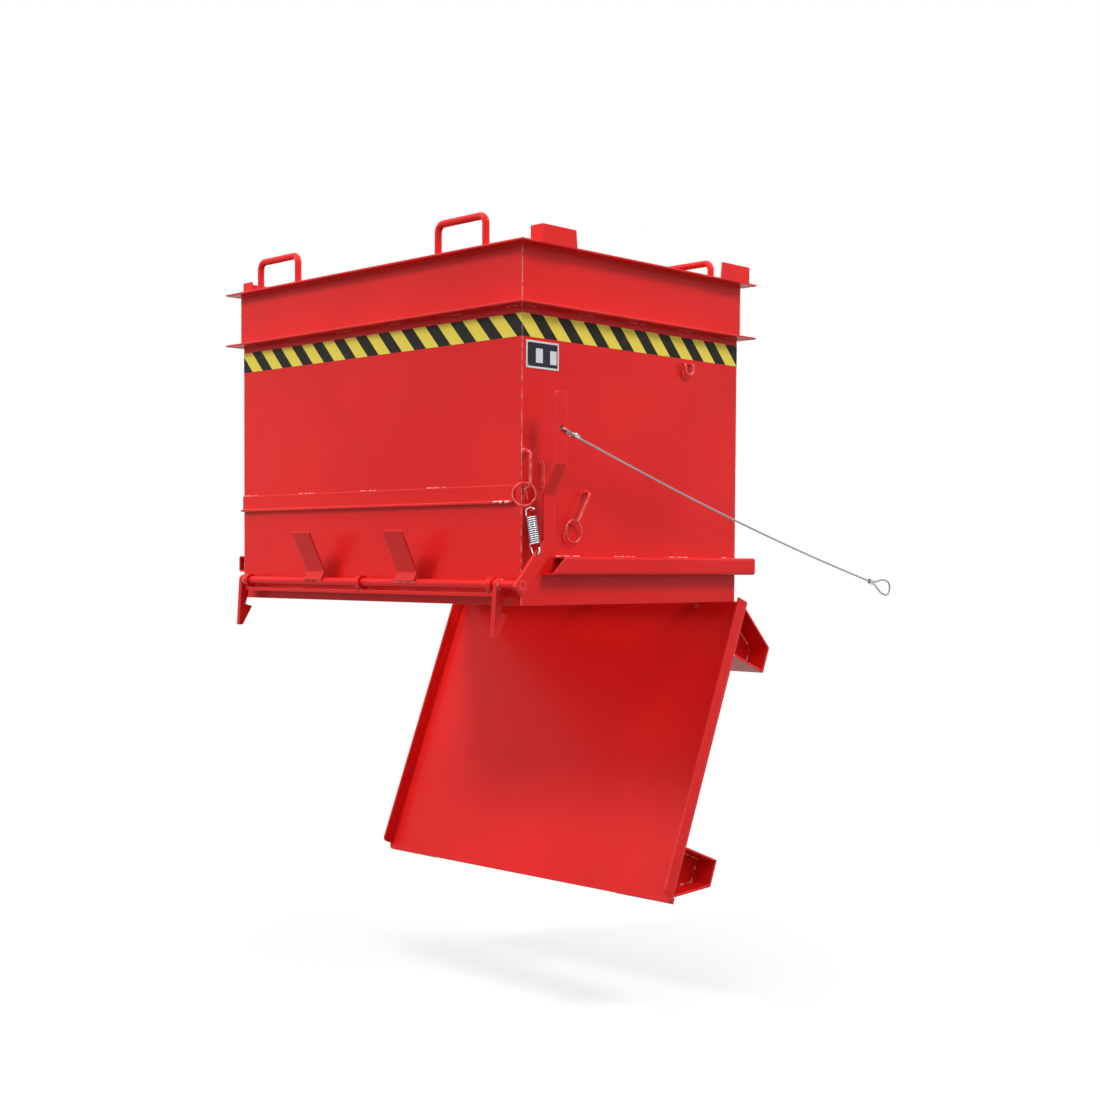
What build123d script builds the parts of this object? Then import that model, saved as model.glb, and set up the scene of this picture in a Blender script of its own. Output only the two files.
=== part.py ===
from build123d import *
import os
from math import atan2, cos, degrees, pi, radians, sin, sqrt, tan

# Building material container with a drop-down bottom flap, hung from four bows
# Millimetres, +Z up, front towards -Y, release lever on the +X side
# The origin is centred on the box, at the height where the bows rest on fork tines
# Heights are counted from the lower edge of the walls, and level() turns them into Z

# Box of four wall sheets
box_x = 1240.0
box_y = 900.0
wall_height = 945.0
wall_thickness = 4.0

# Rim channel round the top
rim_height = 162.0
rim_reach = 40.0
rim_web = 6.0
rim_flange = 5.0

# Stacking corners on the side rims
stack_length = 131.0
stack_return = 40.0
stack_rise = 45.0
stack_plate = 5.0
stack_taper = 5.0
stack_front_inset = 29.0
stack_rear_inset = 0.0

# Lifting bows on the front and rear rims
bow_bar = 20.0
bow_span = 188.0
bow_offset = 408.0
bow_clear = 72.0
bow_bend = 22.0

# Ledge across the front wall
ledge_low = 268.0
ledge_rise = 48.0
ledge_leg = 5.0
ledge_lip = 12.5
ledge_lip_thickness = 6.5
ledge_right_gap = 26.0

# Channels along the side walls
rail_low = 80.0
rail_height = 50.0
rail_reach = 40.0
rail_sheet = 5.0
rail_corner = 8.0
rail_rear_overhang = 48.0
rail_left_setback = 8.0
rail_right_setback = 76.0
rail_slant = 54.0

# Sill, shaft and bearings of the latch
sill_low = 23.0
sill_thickness = 10.0
sill_reach = 38.0
sill_end_gap = 62.0
shaft_diameter = 25.0
shaft_out = 32.5
shaft_height = 55.0
shaft_left_stub = 1.5
bearing_radius = 20.0
bearing_width = 18.0
bearing_inset = 75.0
bearing_foot = 20.0
running_gap = 0.05

# Latch hooks, counted from the shaft axis and the closed flap
hook_thickness = 13.0
hook_inset = 48.0
hook_round = 17.0
hook_length = 138.0
hook_toe_forward = 25.5
hook_toe_width = 13.0
hook_tip_gap = 4.5
hook_tip_drop = 7.0
hook_notch_depth = 24.5
hook_shank_rear = 4.5

# Paddles on the shaft
paddle_width = 80.0
paddle_plate = 6.0
paddle_offset = 207.0
paddle_foot_angle = 60.0
paddle_foot = 3.8
paddle_knee = 26.3
paddle_blade = 132.0
paddle_blade_angle = 117.0
paddle_corner = 5.0

# Release lever
lever_width = 40.0
lever_thickness = 8.0
lever_out = 32.0
lever_tail = 23.0
lever_knee_back = 96.0
lever_knee_rise = 109.0
lever_joggle_low = 292.0
lever_joggle_high = 371.0
lever_joggle = 42.0
lever_top = 559.0
lever_corner = 6.0
rope_hole = 14.0
rope_hole_height = 463.0
spring_hole = 11.0
spring_hole_along = 94.0
spring_hole_edge = 8.0

# Guide staple behind the lever
guide_bar = 6.0
guide_out = 9.0
guide_back = 72.0
guide_low = 307.0
guide_height = 70.0
guide_bend = 6.0

# Safety rods with their bushes and rings
rod_bar = 8.0
rod_bush_radius = 8.0
rod_bush_length = 9.0
rod_end_gap = 1.0
rod_out = 25.0
rod_arm = 89.0
rod_tip_out = 3.4
rod_tip_drop = 10.0
rod_bend = 9.0
rod_front_back = 8.0
rod_front_above_post = 152.5
rod_rear_back = 235.0
rod_rear_height = 301.0
rod_rear_tilt = 31.5
ring_diameter = 65.0
ring_wire = 5.0
ring_hang = 22.1
ring_rear_out = 12.0
ring_front_out = 14.0
ring_front_hang = 19.4
ring_front_turn = 45.0
ring_front_lean = 27.0

# Split pin through the front rod's tip
pin_wire = 2.2
pin_out = 8.0
pin_hole = 5.2
pin_leg = 30.0
pin_leg_spread = 5.5
pin_leg_pitch = 2.6
pin_neck = 5.2
pin_eye_width = 8.0
pin_eye_shoulder = 8.5
pin_eye_top = 12.0
pin_bend = 1.6

# Return spring and its post
post_diameter = 8.0
post_length = 24.0
post_back = 19.0
post_height = 250.0
spring_wire = 4.0
spring_radius = 12.0
spring_pitch = 5.5
spring_lead = 12.3
spring_hook_lead = 17.0
spring_post_out = 14.0
spring_seat_gap = 1.1
spring_hole_seat = 0.9
spring_loop_turn = 225.0
spring_hook_turn = 190.0

# Angles at which the spring's loop and hook are measured, from their free end and to it
spring_loop_angles = (-66.0, -14.0, 38.0, 90.0)
spring_hook_angles = (0.0, 70.0, 135.0, 205.0)

# Hanging rope eye on the right wall
eye_bar = 8.0
eye_back = 645.0
eye_width = 34.5
eye_below_rim = 96.0
eye_drop = 30.0
eye_out = 14.0
eye_bend = 8.0
eye_round = 15.0

# Name plate on the right wall
plate_length = 122.0
plate_height = 72.0
plate_thickness = 1.5
plate_back = 13.5
plate_below_rim = 89.0
rivet_diameter = 5.0
rivet_head = 1.5
rivet_edge = 5.0

# Bottom flap: its hinge, plate, lips, catch bars and skids
hinge_back = 36.8
hinge_lug_radius = 15.0
hinge_dip = 2.8
hinge_lug_lift = 3.0
hinge_lug_thickness = 10.0
hinge_pin_diameter = 20.0
hinge_pin_proud = 5.0
hinge_side_gap = 1.0
hinge_clearance = 1.0
hinge_offset = 450.0
flap_open_angle = 68.45
flap_gap = 1.0
flap_thickness = 6.0
flap_overhang = 5.0
flap_side_gap = 5.0
flap_corner = 10.0
flap_lug_thickness = 12.0
flap_lug_wall_gap = 2.0
flap_lug_foot = 6.0
lip_thickness = 6.0
lip_height = 43.5
lip_round = 15.0
catch_bar_thickness = 12.0
catch_bar_width = 18.0
catch_bar_length = 220.0
catch_bar_end = 4.0
skid_depth = 155.0
skid_foot = 152.0
skid_web = 82.0
skid_sheet = 6.0
skid_rear_gap = 20.0
skid_end_inset = 70.0
skid_end_sheet = 5.0

# Pull rope: its loop through the lever, clamp, hand loop and ferrule
rope_diameter = 6.0
rope_loop_half = 9.5
rope_loop_bend = 9.4
rope_loop_seat = 2.4
rope_loop_waist = 16.0
rope_loop_waist_bend = 22.0
rope_lead = 8.0
rope_lead_bend = 22.0
rope_leg_pitch = 6.8
clamp_start = 46.0
clamp_length = 24.0
clamp_width = 15.0
clamp_depth = 10.0
clamp_edge = 2.0
ferrule_length = 26.0
ferrule_width = 14.5
ferrule_depth = 9.0
ferrule_edge = 2.0

# Rope route behind the clamp: distances behind and below the lever's rope hole, chosen along the sag
rope_route = [(340.0, 107.9), (640.0, 196.7), (940.0, 279.5), (1240.0, 356.3), (1440.0, 403.0)]

# Hand loop: distances along and across the rope's last run
hand_loop_outline = [(52.0, 25.0), (97.0, 21.0)]
hand_loop_bends = [36.0, 20.0]

# Share of the shorter run that a bend of the rope may take
bend_share = 0.45

# Places that several pieces share
half_x = box_x / 2
half_y = box_y / 2
seat_height = wall_height + bow_clear
rim_low = wall_height - rim_height
eye_height = rim_low - eye_below_rim
plate_low = rim_low - plate_below_rim - plate_height
rod_front_height = post_height + rod_front_above_post
shaft_y = -half_y - shaft_out
lever_x = half_x + lever_out
lever_knee_y = shaft_y + lever_knee_back
lever_upper_x = lever_x + lever_joggle
rope_hole_y = lever_knee_y
hook_x = half_x - hook_inset
shaft_left = -hook_x - hook_thickness / 2 - shaft_left_stub
shaft_right = lever_x + lever_thickness
os.makedirs("parts", exist_ok=True)


def level(height):
    """Z of a height above the walls' lower edge."""
    return height - seat_height


def save(piece, node):
    """Label a finished piece and write its STEP file."""
    piece.part.label = node
    export_step(piece.part, f"parts/{node}.step")


def across_y(y):
    """Section plane at a Y: local X is X, local Y is Z, and extrusions run towards -Y."""
    return Plane(origin=(0, y, 0), x_dir=(1, 0, 0), z_dir=(0, -1, 0))


def block(x_low, x_high, y_low, y_high, low, high):
    """Square-edged bar between two X, two Y and two heights."""
    with BuildPart() as piece:
        with BuildSketch(Plane.XY.offset(level(low))):
            with Locations(((x_low + x_high) / 2, (y_low + y_high) / 2)):
                Rectangle(x_high - x_low, y_high - y_low)
        extrude(amount=high - low)
    return piece


def strip(points, left, right):
    """Outline of a bent strip: a run of points widened to its left and its right, with mitred bends."""
    run = [Vector(*point) for point in points]
    normals = []
    for start, end in zip(run, run[1:]):
        along = (end - start).normalized()
        normals.append(Vector(-along.Y, along.X))
    before = [normals[0]] + normals
    after = normals + [normals[-1]]
    mitres = [(a + b) * (1 / (1 + a.dot(b))) for a, b in zip(before, after)]
    outline = [point + mitre * left for point, mitre in zip(run, mitres)]
    outline += [point - mitre * right for point, mitre in reversed(list(zip(run, mitres)))]
    return [(point.X, point.Y) for point in outline]


def round_bar(points, bends, diameter):
    """Round bar along a run of points with rounded bends; bends is one radius or a list."""
    with BuildPart() as piece:
        with BuildLine() as line:
            FilletPolyline(*points, radius=bends)
        path = line.wire()
        with BuildSketch(Plane(origin=path @ 0, z_dir=path % 0)):
            Circle(diameter / 2)
        sweep(path=path)
    return piece


# Wall sheets: the front and rear sheets cover the ends of the side sheets
for side, sign in (("front", -1), ("rear", 1)):
    edges = sorted((sign * half_y, sign * (half_y - wall_thickness)))
    save(block(-half_x, half_x, *edges, 0, wall_height), f"wall_{side}")
for side, sign in (("left", -1), ("right", 1)):
    edges = sorted((sign * half_x, sign * (half_x - wall_thickness)))
    inner_y = half_y - wall_thickness
    save(block(*edges, -inner_y, inner_y, 0, wall_height), f"wall_{side}")


def mitred_strip(side, depth):
    """Plan corners of a strip outside one wall, mitred at both ends."""
    out_x = half_x + depth
    out_y = half_y + depth
    sign = -1 if side in ("front", "left") else 1
    if side in ("front", "rear"):
        near, far = sign * half_y, sign * out_y
        return [(-half_x, near), (half_x, near), (out_x, far), (-out_x, far)]
    near, far = sign * half_x, sign * out_x
    return [(near, -half_y), (near, half_y), (far, out_y), (far, -out_y)]


# Rim channel: a web on the wall and two flanges
for side in ("front", "rear", "left", "right"):
    with BuildPart() as rim:
        with BuildSketch(Plane.XY.offset(level(rim_low))):
            Polygon(*mitred_strip(side, rim_web))
        extrude(amount=rim_height)
        flange_levels = (level(rim_low), level(wall_height - rim_flange))
        with BuildSketch(*[Plane.XY.offset(z) for z in flange_levels]):
            Polygon(*mitred_strip(side, rim_reach))
        extrude(amount=rim_flange)
    save(rim, f"rim_{side}")


def stacking_corner(side, end, inset):
    """Bent plate on the side rim's edge; side and end are -1 or 1."""
    outer_y = end * (half_y - inset)
    inner_y = outer_y - end * stack_length
    low = level(wall_height - rim_flange)
    top = level(wall_height + stack_rise)
    edge_x = half_x + rim_reach
    leaf = [(inner_y, low), (outer_y, low), (outer_y, top), (inner_y + end * stack_taper, top)]
    leaf_x = edge_x if side > 0 else -edge_x - stack_plate
    return_x = edge_x - stack_return / 2
    with BuildPart() as piece:
        with BuildSketch(Plane.YZ.offset(leaf_x)):
            Polygon(*leaf)
        extrude(amount=stack_plate)
        with BuildSketch(Plane.XY.offset(level(wall_height))):
            with Locations((side * return_x, outer_y - end * stack_plate / 2)):
                Rectangle(stack_return, stack_plate)
        extrude(amount=stack_rise)
    return piece


for end, end_sign, inset in (("front", -1, stack_front_inset), ("rear", 1, stack_rear_inset)):
    for side, side_sign in (("left", -1), ("right", 1)):
        save(stacking_corner(side_sign, end_sign, inset), f"stacking_corner_{end}_{side}")

# Lifting bows: bent round bars that stand on the front and rear rims
for end, end_sign in (("front", -1), ("rear", 1)):
    for side, side_sign in (("left", -1), ("right", 1)):
        bow_y = end_sign * (half_y + rim_reach / 2)
        first_x = side_sign * bow_offset - bow_span / 2
        last_x = side_sign * bow_offset + bow_span / 2
        foot = level(wall_height)
        crown = level(seat_height) + bow_bar / 2
        corners = [
            (first_x, bow_y, foot),
            (first_x, bow_y, crown),
            (last_x, bow_y, crown),
            (last_x, bow_y, foot),
        ]
        save(round_bar(corners, bow_bend, bow_bar), f"lifting_bow_{end}_{side}")

# Front ledge: an L-profile with its lip at the bottom
with BuildPart() as front_ledge:
    lip_top = ledge_low + ledge_lip_thickness
    ledge_top = ledge_low + ledge_rise
    with BuildSketch(Plane.YZ.offset(-half_x)):
        Polygon(
            (-half_y, level(ledge_low)),
            (-half_y - ledge_lip, level(ledge_low)),
            (-half_y - ledge_lip, level(lip_top)),
            (-half_y - ledge_leg, level(lip_top)),
            (-half_y - ledge_leg, level(ledge_top)),
            (-half_y, level(ledge_top)),
        )
    extrude(amount=box_x - ledge_right_gap)
save(front_ledge, "front_ledge")


def side_rail(side, setback, slant):
    """Channel with its open side on the wall; slant cuts the front end back towards the top."""
    front_y = -half_y + setback
    rear_y = half_y + rail_rear_overhang
    rail_top = level(rail_low + rail_height)
    middle = level(rail_low + rail_height / 2)
    with BuildPart() as piece:
        with BuildSketch(across_y(rear_y)) as section:
            with Locations((side * (half_x + rail_reach / 2), middle)):
                Rectangle(rail_reach, rail_height)
            outside = section.vertices().group_by(Axis.X)[-1 if side > 0 else 0]
            fillet(outside, rail_corner)
            with Locations((side * (half_x + (rail_reach - rail_sheet) / 2), middle)):
                Rectangle(rail_reach - rail_sheet, rail_height - 2 * rail_sheet, mode=Mode.SUBTRACT)
        extrude(amount=rear_y - front_y)
        if slant > 0:
            with BuildSketch(Plane.YZ):
                Polygon((front_y, level(rail_low)), (front_y, rail_top), (front_y + slant, rail_top))
            extrude(amount=side * (half_x + rail_reach), mode=Mode.SUBTRACT)
    return piece


save(side_rail(-1, rail_left_setback, 0), "side_rail_left")
save(side_rail(1, rail_right_setback, rail_slant), "side_rail_right")

# Sill that carries the shaft's bearings
sill_end = half_x - sill_end_gap
sill_top = sill_low + sill_thickness
save(block(-sill_end, sill_end, -half_y - sill_reach, -half_y, sill_low, sill_top), "front_sill")

# Shaft bearings: bushes with a foot on the sill
for name, bearing_x in (("left", bearing_inset - half_x), ("middle", 0), ("right", half_x - bearing_inset)):
    with BuildPart() as bearing:
        with BuildSketch(Plane.YZ.offset(bearing_x - bearing_width / 2)):
            with Locations((shaft_y, level(shaft_height))):
                Circle(bearing_radius)
            with Locations((-half_y - sill_reach + bearing_foot / 2, level((sill_top + shaft_height) / 2))):
                Rectangle(bearing_foot, shaft_height - sill_top)
            with Locations((shaft_y, level(shaft_height))):
                Circle(shaft_diameter / 2 + running_gap, mode=Mode.SUBTRACT)
        extrude(amount=bearing_width)
    save(bearing, f"shaft_bearing_{name}")

# Latch shaft
with BuildPart() as latch_shaft:
    with BuildSketch(Plane.YZ.offset(shaft_left)):
        with Locations((shaft_y, level(shaft_height))):
            Circle(shaft_diameter / 2)
    extrude(amount=shaft_right - shaft_left)
save(latch_shaft, "latch_shaft")

# Closed flap: where its free edge and the catch bars' underside lie
closed_edge_y = -half_y - flap_overhang
closed_under = -flap_gap - flap_thickness
catch_under = closed_under - catch_bar_thickness


def latch_hook(x_low):
    """Hook plate round the shaft, standing just clear of the closed flap's edge."""
    axis_z = level(shaft_height)
    tip_y = closed_edge_y - hook_tip_gap
    tip_z = level(catch_under - hook_tip_drop)
    notch_y = tip_y - hook_notch_depth
    toe_z = axis_z - hook_length
    with BuildPart() as piece:
        with BuildSketch(Plane.YZ.offset(x_low)):
            Polygon(
                (shaft_y - hook_round, axis_z),
                (shaft_y - hook_toe_forward, toe_z),
                (shaft_y - hook_toe_forward + hook_toe_width, toe_z),
                (tip_y, tip_z),
                (notch_y, level(catch_under)),
                (shaft_y + hook_shank_rear, level(0)),
                (shaft_y + hook_round, axis_z),
            )
            with Locations((shaft_y, axis_z)):
                Circle(hook_round)
                Circle(shaft_diameter / 2 + running_gap, mode=Mode.SUBTRACT)
        extrude(amount=hook_thickness)
    return piece


save(latch_hook(-hook_x - hook_thickness / 2), "latch_hook_left")
save(latch_hook(hook_x - hook_thickness / 2), "latch_hook_right")


def paddle(centre_x):
    """Bent plate welded on the front of the shaft, leaning forward above its knee."""
    seat = shaft_diameter / 2 + running_gap
    foot_turn = radians(paddle_foot_angle)
    blade_turn = radians(paddle_blade_angle)
    axis = Vector(shaft_y, level(shaft_height))
    along_foot = Vector(cos(foot_turn), sin(foot_turn))
    along_blade = Vector(cos(blade_turn), sin(blade_turn))
    touch = axis + Vector(-sin(foot_turn), cos(foot_turn)) * seat
    knee = touch + along_foot * paddle_knee
    side_view = [touch - along_foot * paddle_foot, knee, knee + along_blade * paddle_blade]
    outline = strip([(point.X, point.Y) for point in side_view], paddle_plate, 0)
    with BuildPart() as piece:
        with BuildSketch(Plane.YZ.offset(centre_x - paddle_width / 2)):
            Polygon(*outline)
        extrude(amount=paddle_width)
        top_face = piece.faces().filter_by(Plane.YZ, reverse=True).sort_by(Axis.Z)[-1]
        chamfer(top_face.edges().sort_by(Axis.X)[0], paddle_corner)
        top_face = piece.faces().filter_by(Plane.YZ, reverse=True).sort_by(Axis.Z)[-1]
        chamfer(top_face.edges().sort_by(Axis.X)[-1], paddle_corner)
    return piece


save(paddle(-paddle_offset), "paddle_left")
save(paddle(paddle_offset), "paddle_right")

# Release lever: a flat bar with a knee, then a joggle outwards to its upper end
lever_axis = Vector(shaft_y, level(shaft_height))
lever_along = Vector(lever_knee_back, lever_knee_rise).normalized()
lever_across = Vector(-lever_along.Y, lever_along.X)
lever_tail_end = lever_axis - lever_along * lever_tail
spring_hole_at = (
    lever_axis + lever_along * spring_hole_along + lever_across * (lever_width / 2 - spring_hole_edge)
)
with BuildPart() as release_lever:
    lower_run = [
        (lever_tail_end.X, lever_tail_end.Y),
        (lever_knee_y, level(shaft_height + lever_knee_rise)),
        (lever_knee_y, level(lever_joggle_low)),
    ]
    with BuildSketch(Plane.YZ.offset(lever_x)):
        Polygon(*strip(lower_run, lever_width / 2, lever_width / 2))
        with Locations((shaft_y, level(shaft_height))):
            Circle(shaft_diameter / 2 + running_gap, mode=Mode.SUBTRACT)
        with Locations((spring_hole_at.X, spring_hole_at.Y)):
            Circle(spring_hole / 2, mode=Mode.SUBTRACT)
    extrude(amount=lever_thickness)
    upper_run = [
        (lever_x, level(lever_joggle_low - lever_width)),
        (lever_x, level(lever_joggle_low)),
        (lever_upper_x, level(lever_joggle_high)),
        (lever_upper_x, level(lever_top)),
    ]
    with BuildSketch(across_y(lever_knee_y + lever_width / 2)):
        Polygon(*strip(upper_run, 0, lever_thickness))
    extrude(amount=lever_width)
    top_corners = release_lever.edges().filter_by(Axis.X).group_by(Axis.Z)[-1]
    chamfer(top_corners, lever_corner)
    with BuildSketch(Plane.YZ.offset(lever_upper_x)):
        with Locations((rope_hole_y, level(rope_hole_height))):
            Circle(rope_hole / 2)
    extrude(amount=lever_thickness, mode=Mode.SUBTRACT)
save(release_lever, "release_lever")

# Guide staple on the right wall, behind the lever
guide_y = -half_y + guide_back
guide_x = half_x + guide_out
guide_top = level(guide_low + guide_height)
guide_run = [
    (half_x, guide_y, level(guide_low)),
    (guide_x, guide_y, level(guide_low)),
    (guide_x, guide_y, guide_top),
    (half_x, guide_y, guide_top),
]
save(round_bar(guide_run, guide_bend, guide_bar), "lever_guide")

# Safety rods: an upper leg in a bush, an arm along the wall and a lower leg back towards it
rod_front_y = -half_y + rod_front_back
rod_rear_y = -half_y + rod_rear_back
rod_tip_x = half_x + rod_tip_out
rod_arm_x = half_x + rod_out


def rod_point(x, along, pivot_y, pivot_height, tilt):
    """Point of a rod at an X and a distance along its arm, tilted forward about its pivot."""
    lean = radians(tilt)
    return (x, pivot_y - along * sin(lean), level(pivot_height) - along * cos(lean))


def leg_point(x, pivot_y, pivot_height, tilt):
    """Point on the centre line of a rod's lower leg at an X."""
    share = (rod_arm_x - x) / (rod_arm_x - rod_tip_x)
    return rod_point(x, rod_arm + share * rod_tip_drop, pivot_y, pivot_height, tilt)


def safety_rod(pivot_y, pivot_height, tilt):
    """Rod bent from round bar, hanging from its upper leg."""
    pivot = (pivot_y, pivot_height, tilt)
    corners = [
        rod_point(half_x + rod_end_gap, 0, *pivot),
        rod_point(rod_arm_x, 0, *pivot),
        rod_point(rod_arm_x, rod_arm, *pivot),
        rod_point(rod_tip_x, rod_arm + rod_tip_drop, *pivot),
    ]
    return round_bar(corners, rod_bend, rod_bar)


front_pivot = (rod_front_y, rod_front_height, 0)
rear_pivot = (rod_rear_y, rod_rear_height, rod_rear_tilt)
pin_x = half_x + pin_out
pin_centre = leg_point(pin_x, *front_pivot)
with BuildPart() as safety_rod_front:
    add(safety_rod(*front_pivot).part)
    with BuildSketch(Plane(origin=pin_centre)):
        Circle(pin_hole / 2)
    extrude(amount=rod_bar, both=True, mode=Mode.SUBTRACT)
save(safety_rod_front, "safety_rod_front")
save(safety_rod(*rear_pivot), "safety_rod_rear")

with BuildPart() as rod_bushes:
    with BuildSketch(Plane.YZ.offset(half_x)):
        with Locations((rod_front_y, level(rod_front_height)), (rod_rear_y, level(rod_rear_height))):
            Circle(rod_bush_radius)
            Circle(rod_bar / 2 + running_gap, mode=Mode.SUBTRACT)
    extrude(amount=rod_bush_length)
save(rod_bushes, "rod_bushes")

# Split pin: a folded wire with an eye above the tip and two spread legs below it
turn = radians(ring_front_turn)
ring_across = Vector(cos(turn), sin(turn), 0)


def pin_point(across, rise):
    """Point of the split pin beside and above the middle of its hole."""
    return Vector(*pin_centre) + ring_across * across + Vector(0, 0, rise)


pin_half = [
    (pin_leg_spread, -pin_leg),
    (pin_leg_pitch / 2, -pin_neck),
    (pin_leg_pitch / 2, pin_neck),
    (pin_eye_width / 2, pin_eye_shoulder),
    (pin_eye_width / 2, pin_eye_top),
]
pin_run = [pin_point(across, rise) for across, rise in pin_half]
pin_run += [pin_point(-across, rise) for across, rise in reversed(pin_half)]
save(round_bar(pin_run, pin_bend, pin_wire), "rod_split_pin")


def pull_ring(centre, facing):
    """Round ring about a centre, its plane square to a direction."""
    ring_plane = Plane(origin=centre, z_dir=facing)
    with BuildPart() as piece:
        with BuildSketch(Plane(origin=centre, x_dir=ring_plane.x_dir, z_dir=ring_plane.y_dir)):
            with Locations(((ring_diameter - ring_wire) / 2, 0)):
                Circle(ring_wire / 2)
        revolve(axis=Axis(centre, facing))
    return piece


# Rings: the front one stands in front of the wall's corner, the rear one hangs plumb
lean = radians(ring_front_lean)
front_seat = Vector(*leg_point(half_x + ring_front_out, *front_pivot))
front_hang = ring_across * -sin(lean) + Vector(0, 0, -cos(lean))
front_facing = (sin(turn), -cos(turn), 0)
save(pull_ring(front_seat + front_hang * ring_front_hang, front_facing), "pull_ring_front")
rear_seat = Vector(*leg_point(half_x + ring_rear_out, *rear_pivot))
save(pull_ring(rear_seat - Vector(0, 0, ring_hang), (1, 0, 0)), "pull_ring_rear")

# Spring post on the right wall
post_y = -half_y + post_back
with BuildPart() as spring_post:
    with BuildSketch(Plane.YZ.offset(half_x)):
        with Locations((post_y, level(post_height))):
            Circle(post_diameter / 2)
    extrude(amount=post_length)
save(spring_post, "spring_post")

# Return spring: a loop over the post, coils and a hook through the lever's hole
post_end = Vector(half_x + spring_post_out, post_y, level(post_height))
lever_end = Vector(lever_x + lever_thickness / 2, spring_hole_at.X, spring_hole_at.Y)
spring_down = (lever_end - post_end).normalized()


def spring_side(turn):
    """Direction square to the spring that comes nearest to a level one at a turn in degrees."""
    wish = Vector(cos(radians(turn)), sin(radians(turn)), 0)
    return (wish - spring_down * wish.dot(spring_down)).normalized()


loop_side = spring_side(spring_loop_turn)
loop_cross = spring_down.cross(loop_side)
hook_side = spring_side(spring_hook_turn)
loop_sag = spring_radius - spring_wire / 2 - post_diameter / 2 - spring_seat_gap
loop_centre = post_end + spring_down * loop_sag
hook_centre = lever_end - spring_down * (spring_hole_seat + spring_radius)
coil_length = (hook_centre - loop_centre).length - spring_lead - spring_hook_lead
coil_top = loop_centre + spring_down * spring_lead
hook_angle = atan2(hook_side.dot(loop_cross), hook_side.dot(loop_side))
coil_first = pi / 2
spring_turns = round(coil_length / spring_pitch)
coil_last = hook_angle - pi / 2 + 2 * pi * spring_turns
coil_pitch = 2 * pi * coil_length / (coil_last - coil_first)


def ring_station(centre, first, second, angle):
    """Point and direction at an angle of a circle that runs from its first to its second axis."""
    point = centre + (first * cos(angle) + second * sin(angle)) * spring_radius
    return point, second * cos(angle) - first * sin(angle)


def coil_station(angle):
    """Point and direction at an angle of the coils."""
    down = spring_down * (coil_pitch * (angle - coil_first) / (2 * pi))
    point, around = ring_station(coil_top + down, loop_side, loop_cross, angle)
    slope = coil_pitch / (2 * pi * spring_radius)
    return point, (around + spring_down * slope).normalized()


def join(start, start_dir, end, end_dir):
    """Middle point and direction of the two tangent arcs between two directed points."""
    span = end - start
    both = span.dot(start_dir + end_dir)
    bend = 2 * (1 - start_dir.dot(end_dir))
    step = (sqrt(both**2 + bend * span.dot(span)) - both) / bend
    first = start + start_dir * step
    last = end - end_dir * step
    return (first + last) * 0.5, (last - first).normalized()


half_turns = round((coil_last - coil_first) / pi)
coil_step = (coil_last - coil_first) / half_turns
stations = [ring_station(loop_centre, -spring_down, loop_side, radians(a)) for a in spring_loop_angles]
stations += [coil_station(coil_first + coil_step * i) for i in range(half_turns + 1)]
stations += [ring_station(hook_centre, hook_side, spring_down, radians(a)) for a in spring_hook_angles]
with BuildPart() as return_spring:
    with BuildLine() as spring_line:
        for (start, start_dir), (end, end_dir) in zip(stations, stations[1:]):
            middle, middle_dir = join(start, start_dir, end, end_dir)
            TangentArc(start, middle, tangent=start_dir)
            TangentArc(middle, end, tangent=middle_dir)
    spring_path = spring_line.wire()
    with BuildSketch(Plane(origin=stations[0][0], z_dir=stations[0][1])):
        Circle(spring_wire / 2)
    sweep(path=spring_path)
save(return_spring, "return_spring")

# Least gap of the spring to itself, measured on points further apart along the wire than half a turn
samples_per_wire = 4
sample_step = spring_wire / samples_per_wire
sample_count = int(spring_path.length / sample_step)
samples = [spring_path @ (i / sample_count) for i in range(sample_count + 1)]
apart = int(pi * spring_radius / sample_step)
least = min(
    (samples[i] - samples[j]).length
    for i in range(len(samples))
    for j in range(i + apart, len(samples))
)
print(f"spring: {spring_turns} turns, coil pitch {coil_pitch:.2f}, length {spring_path.length:.0f}")
print(f"spring: least gap {least - spring_wire:.2f}")

# Hanging rope eye on the right wall
eye_y = -half_y + eye_back
eye_x = half_x + eye_out
eye_top = level(eye_height)
eye_low = level(eye_height - eye_drop)
eye_run = [
    (half_x, eye_y, eye_top),
    (eye_x, eye_y, eye_top),
    (eye_x, eye_y, eye_low),
    (eye_x, eye_y + eye_width, eye_low),
    (eye_x, eye_y + eye_width, eye_top),
    (half_x, eye_y + eye_width, eye_top),
]
save(round_bar(eye_run, [eye_bend, eye_round, eye_round, eye_bend], eye_bar), "rope_eye")

# Name plate with a rivet in each corner
plate_y = -half_y + plate_back
plate_face = half_x + plate_thickness
plate_middle = (plate_y + plate_length / 2, level(plate_low + plate_height / 2))
name_plate = block(half_x, plate_face, plate_y, plate_y + plate_length, plate_low, plate_low + plate_height)
save(name_plate, "name_plate")
with BuildPart() as plate_rivets:
    with BuildSketch(Plane.YZ.offset(plate_face)):
        with Locations(plate_middle):
            with GridLocations(plate_length - 2 * rivet_edge, plate_height - 2 * rivet_edge, 2, 2):
                Circle(rivet_diameter / 2)
    extrude(amount=rivet_head)
    heads = plate_rivets.faces().filter_by(Axis.X).group_by(Axis.X)[-1]
    fillet(heads.edges(), rivet_head / 2)
save(plate_rivets, "plate_rivets")

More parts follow.
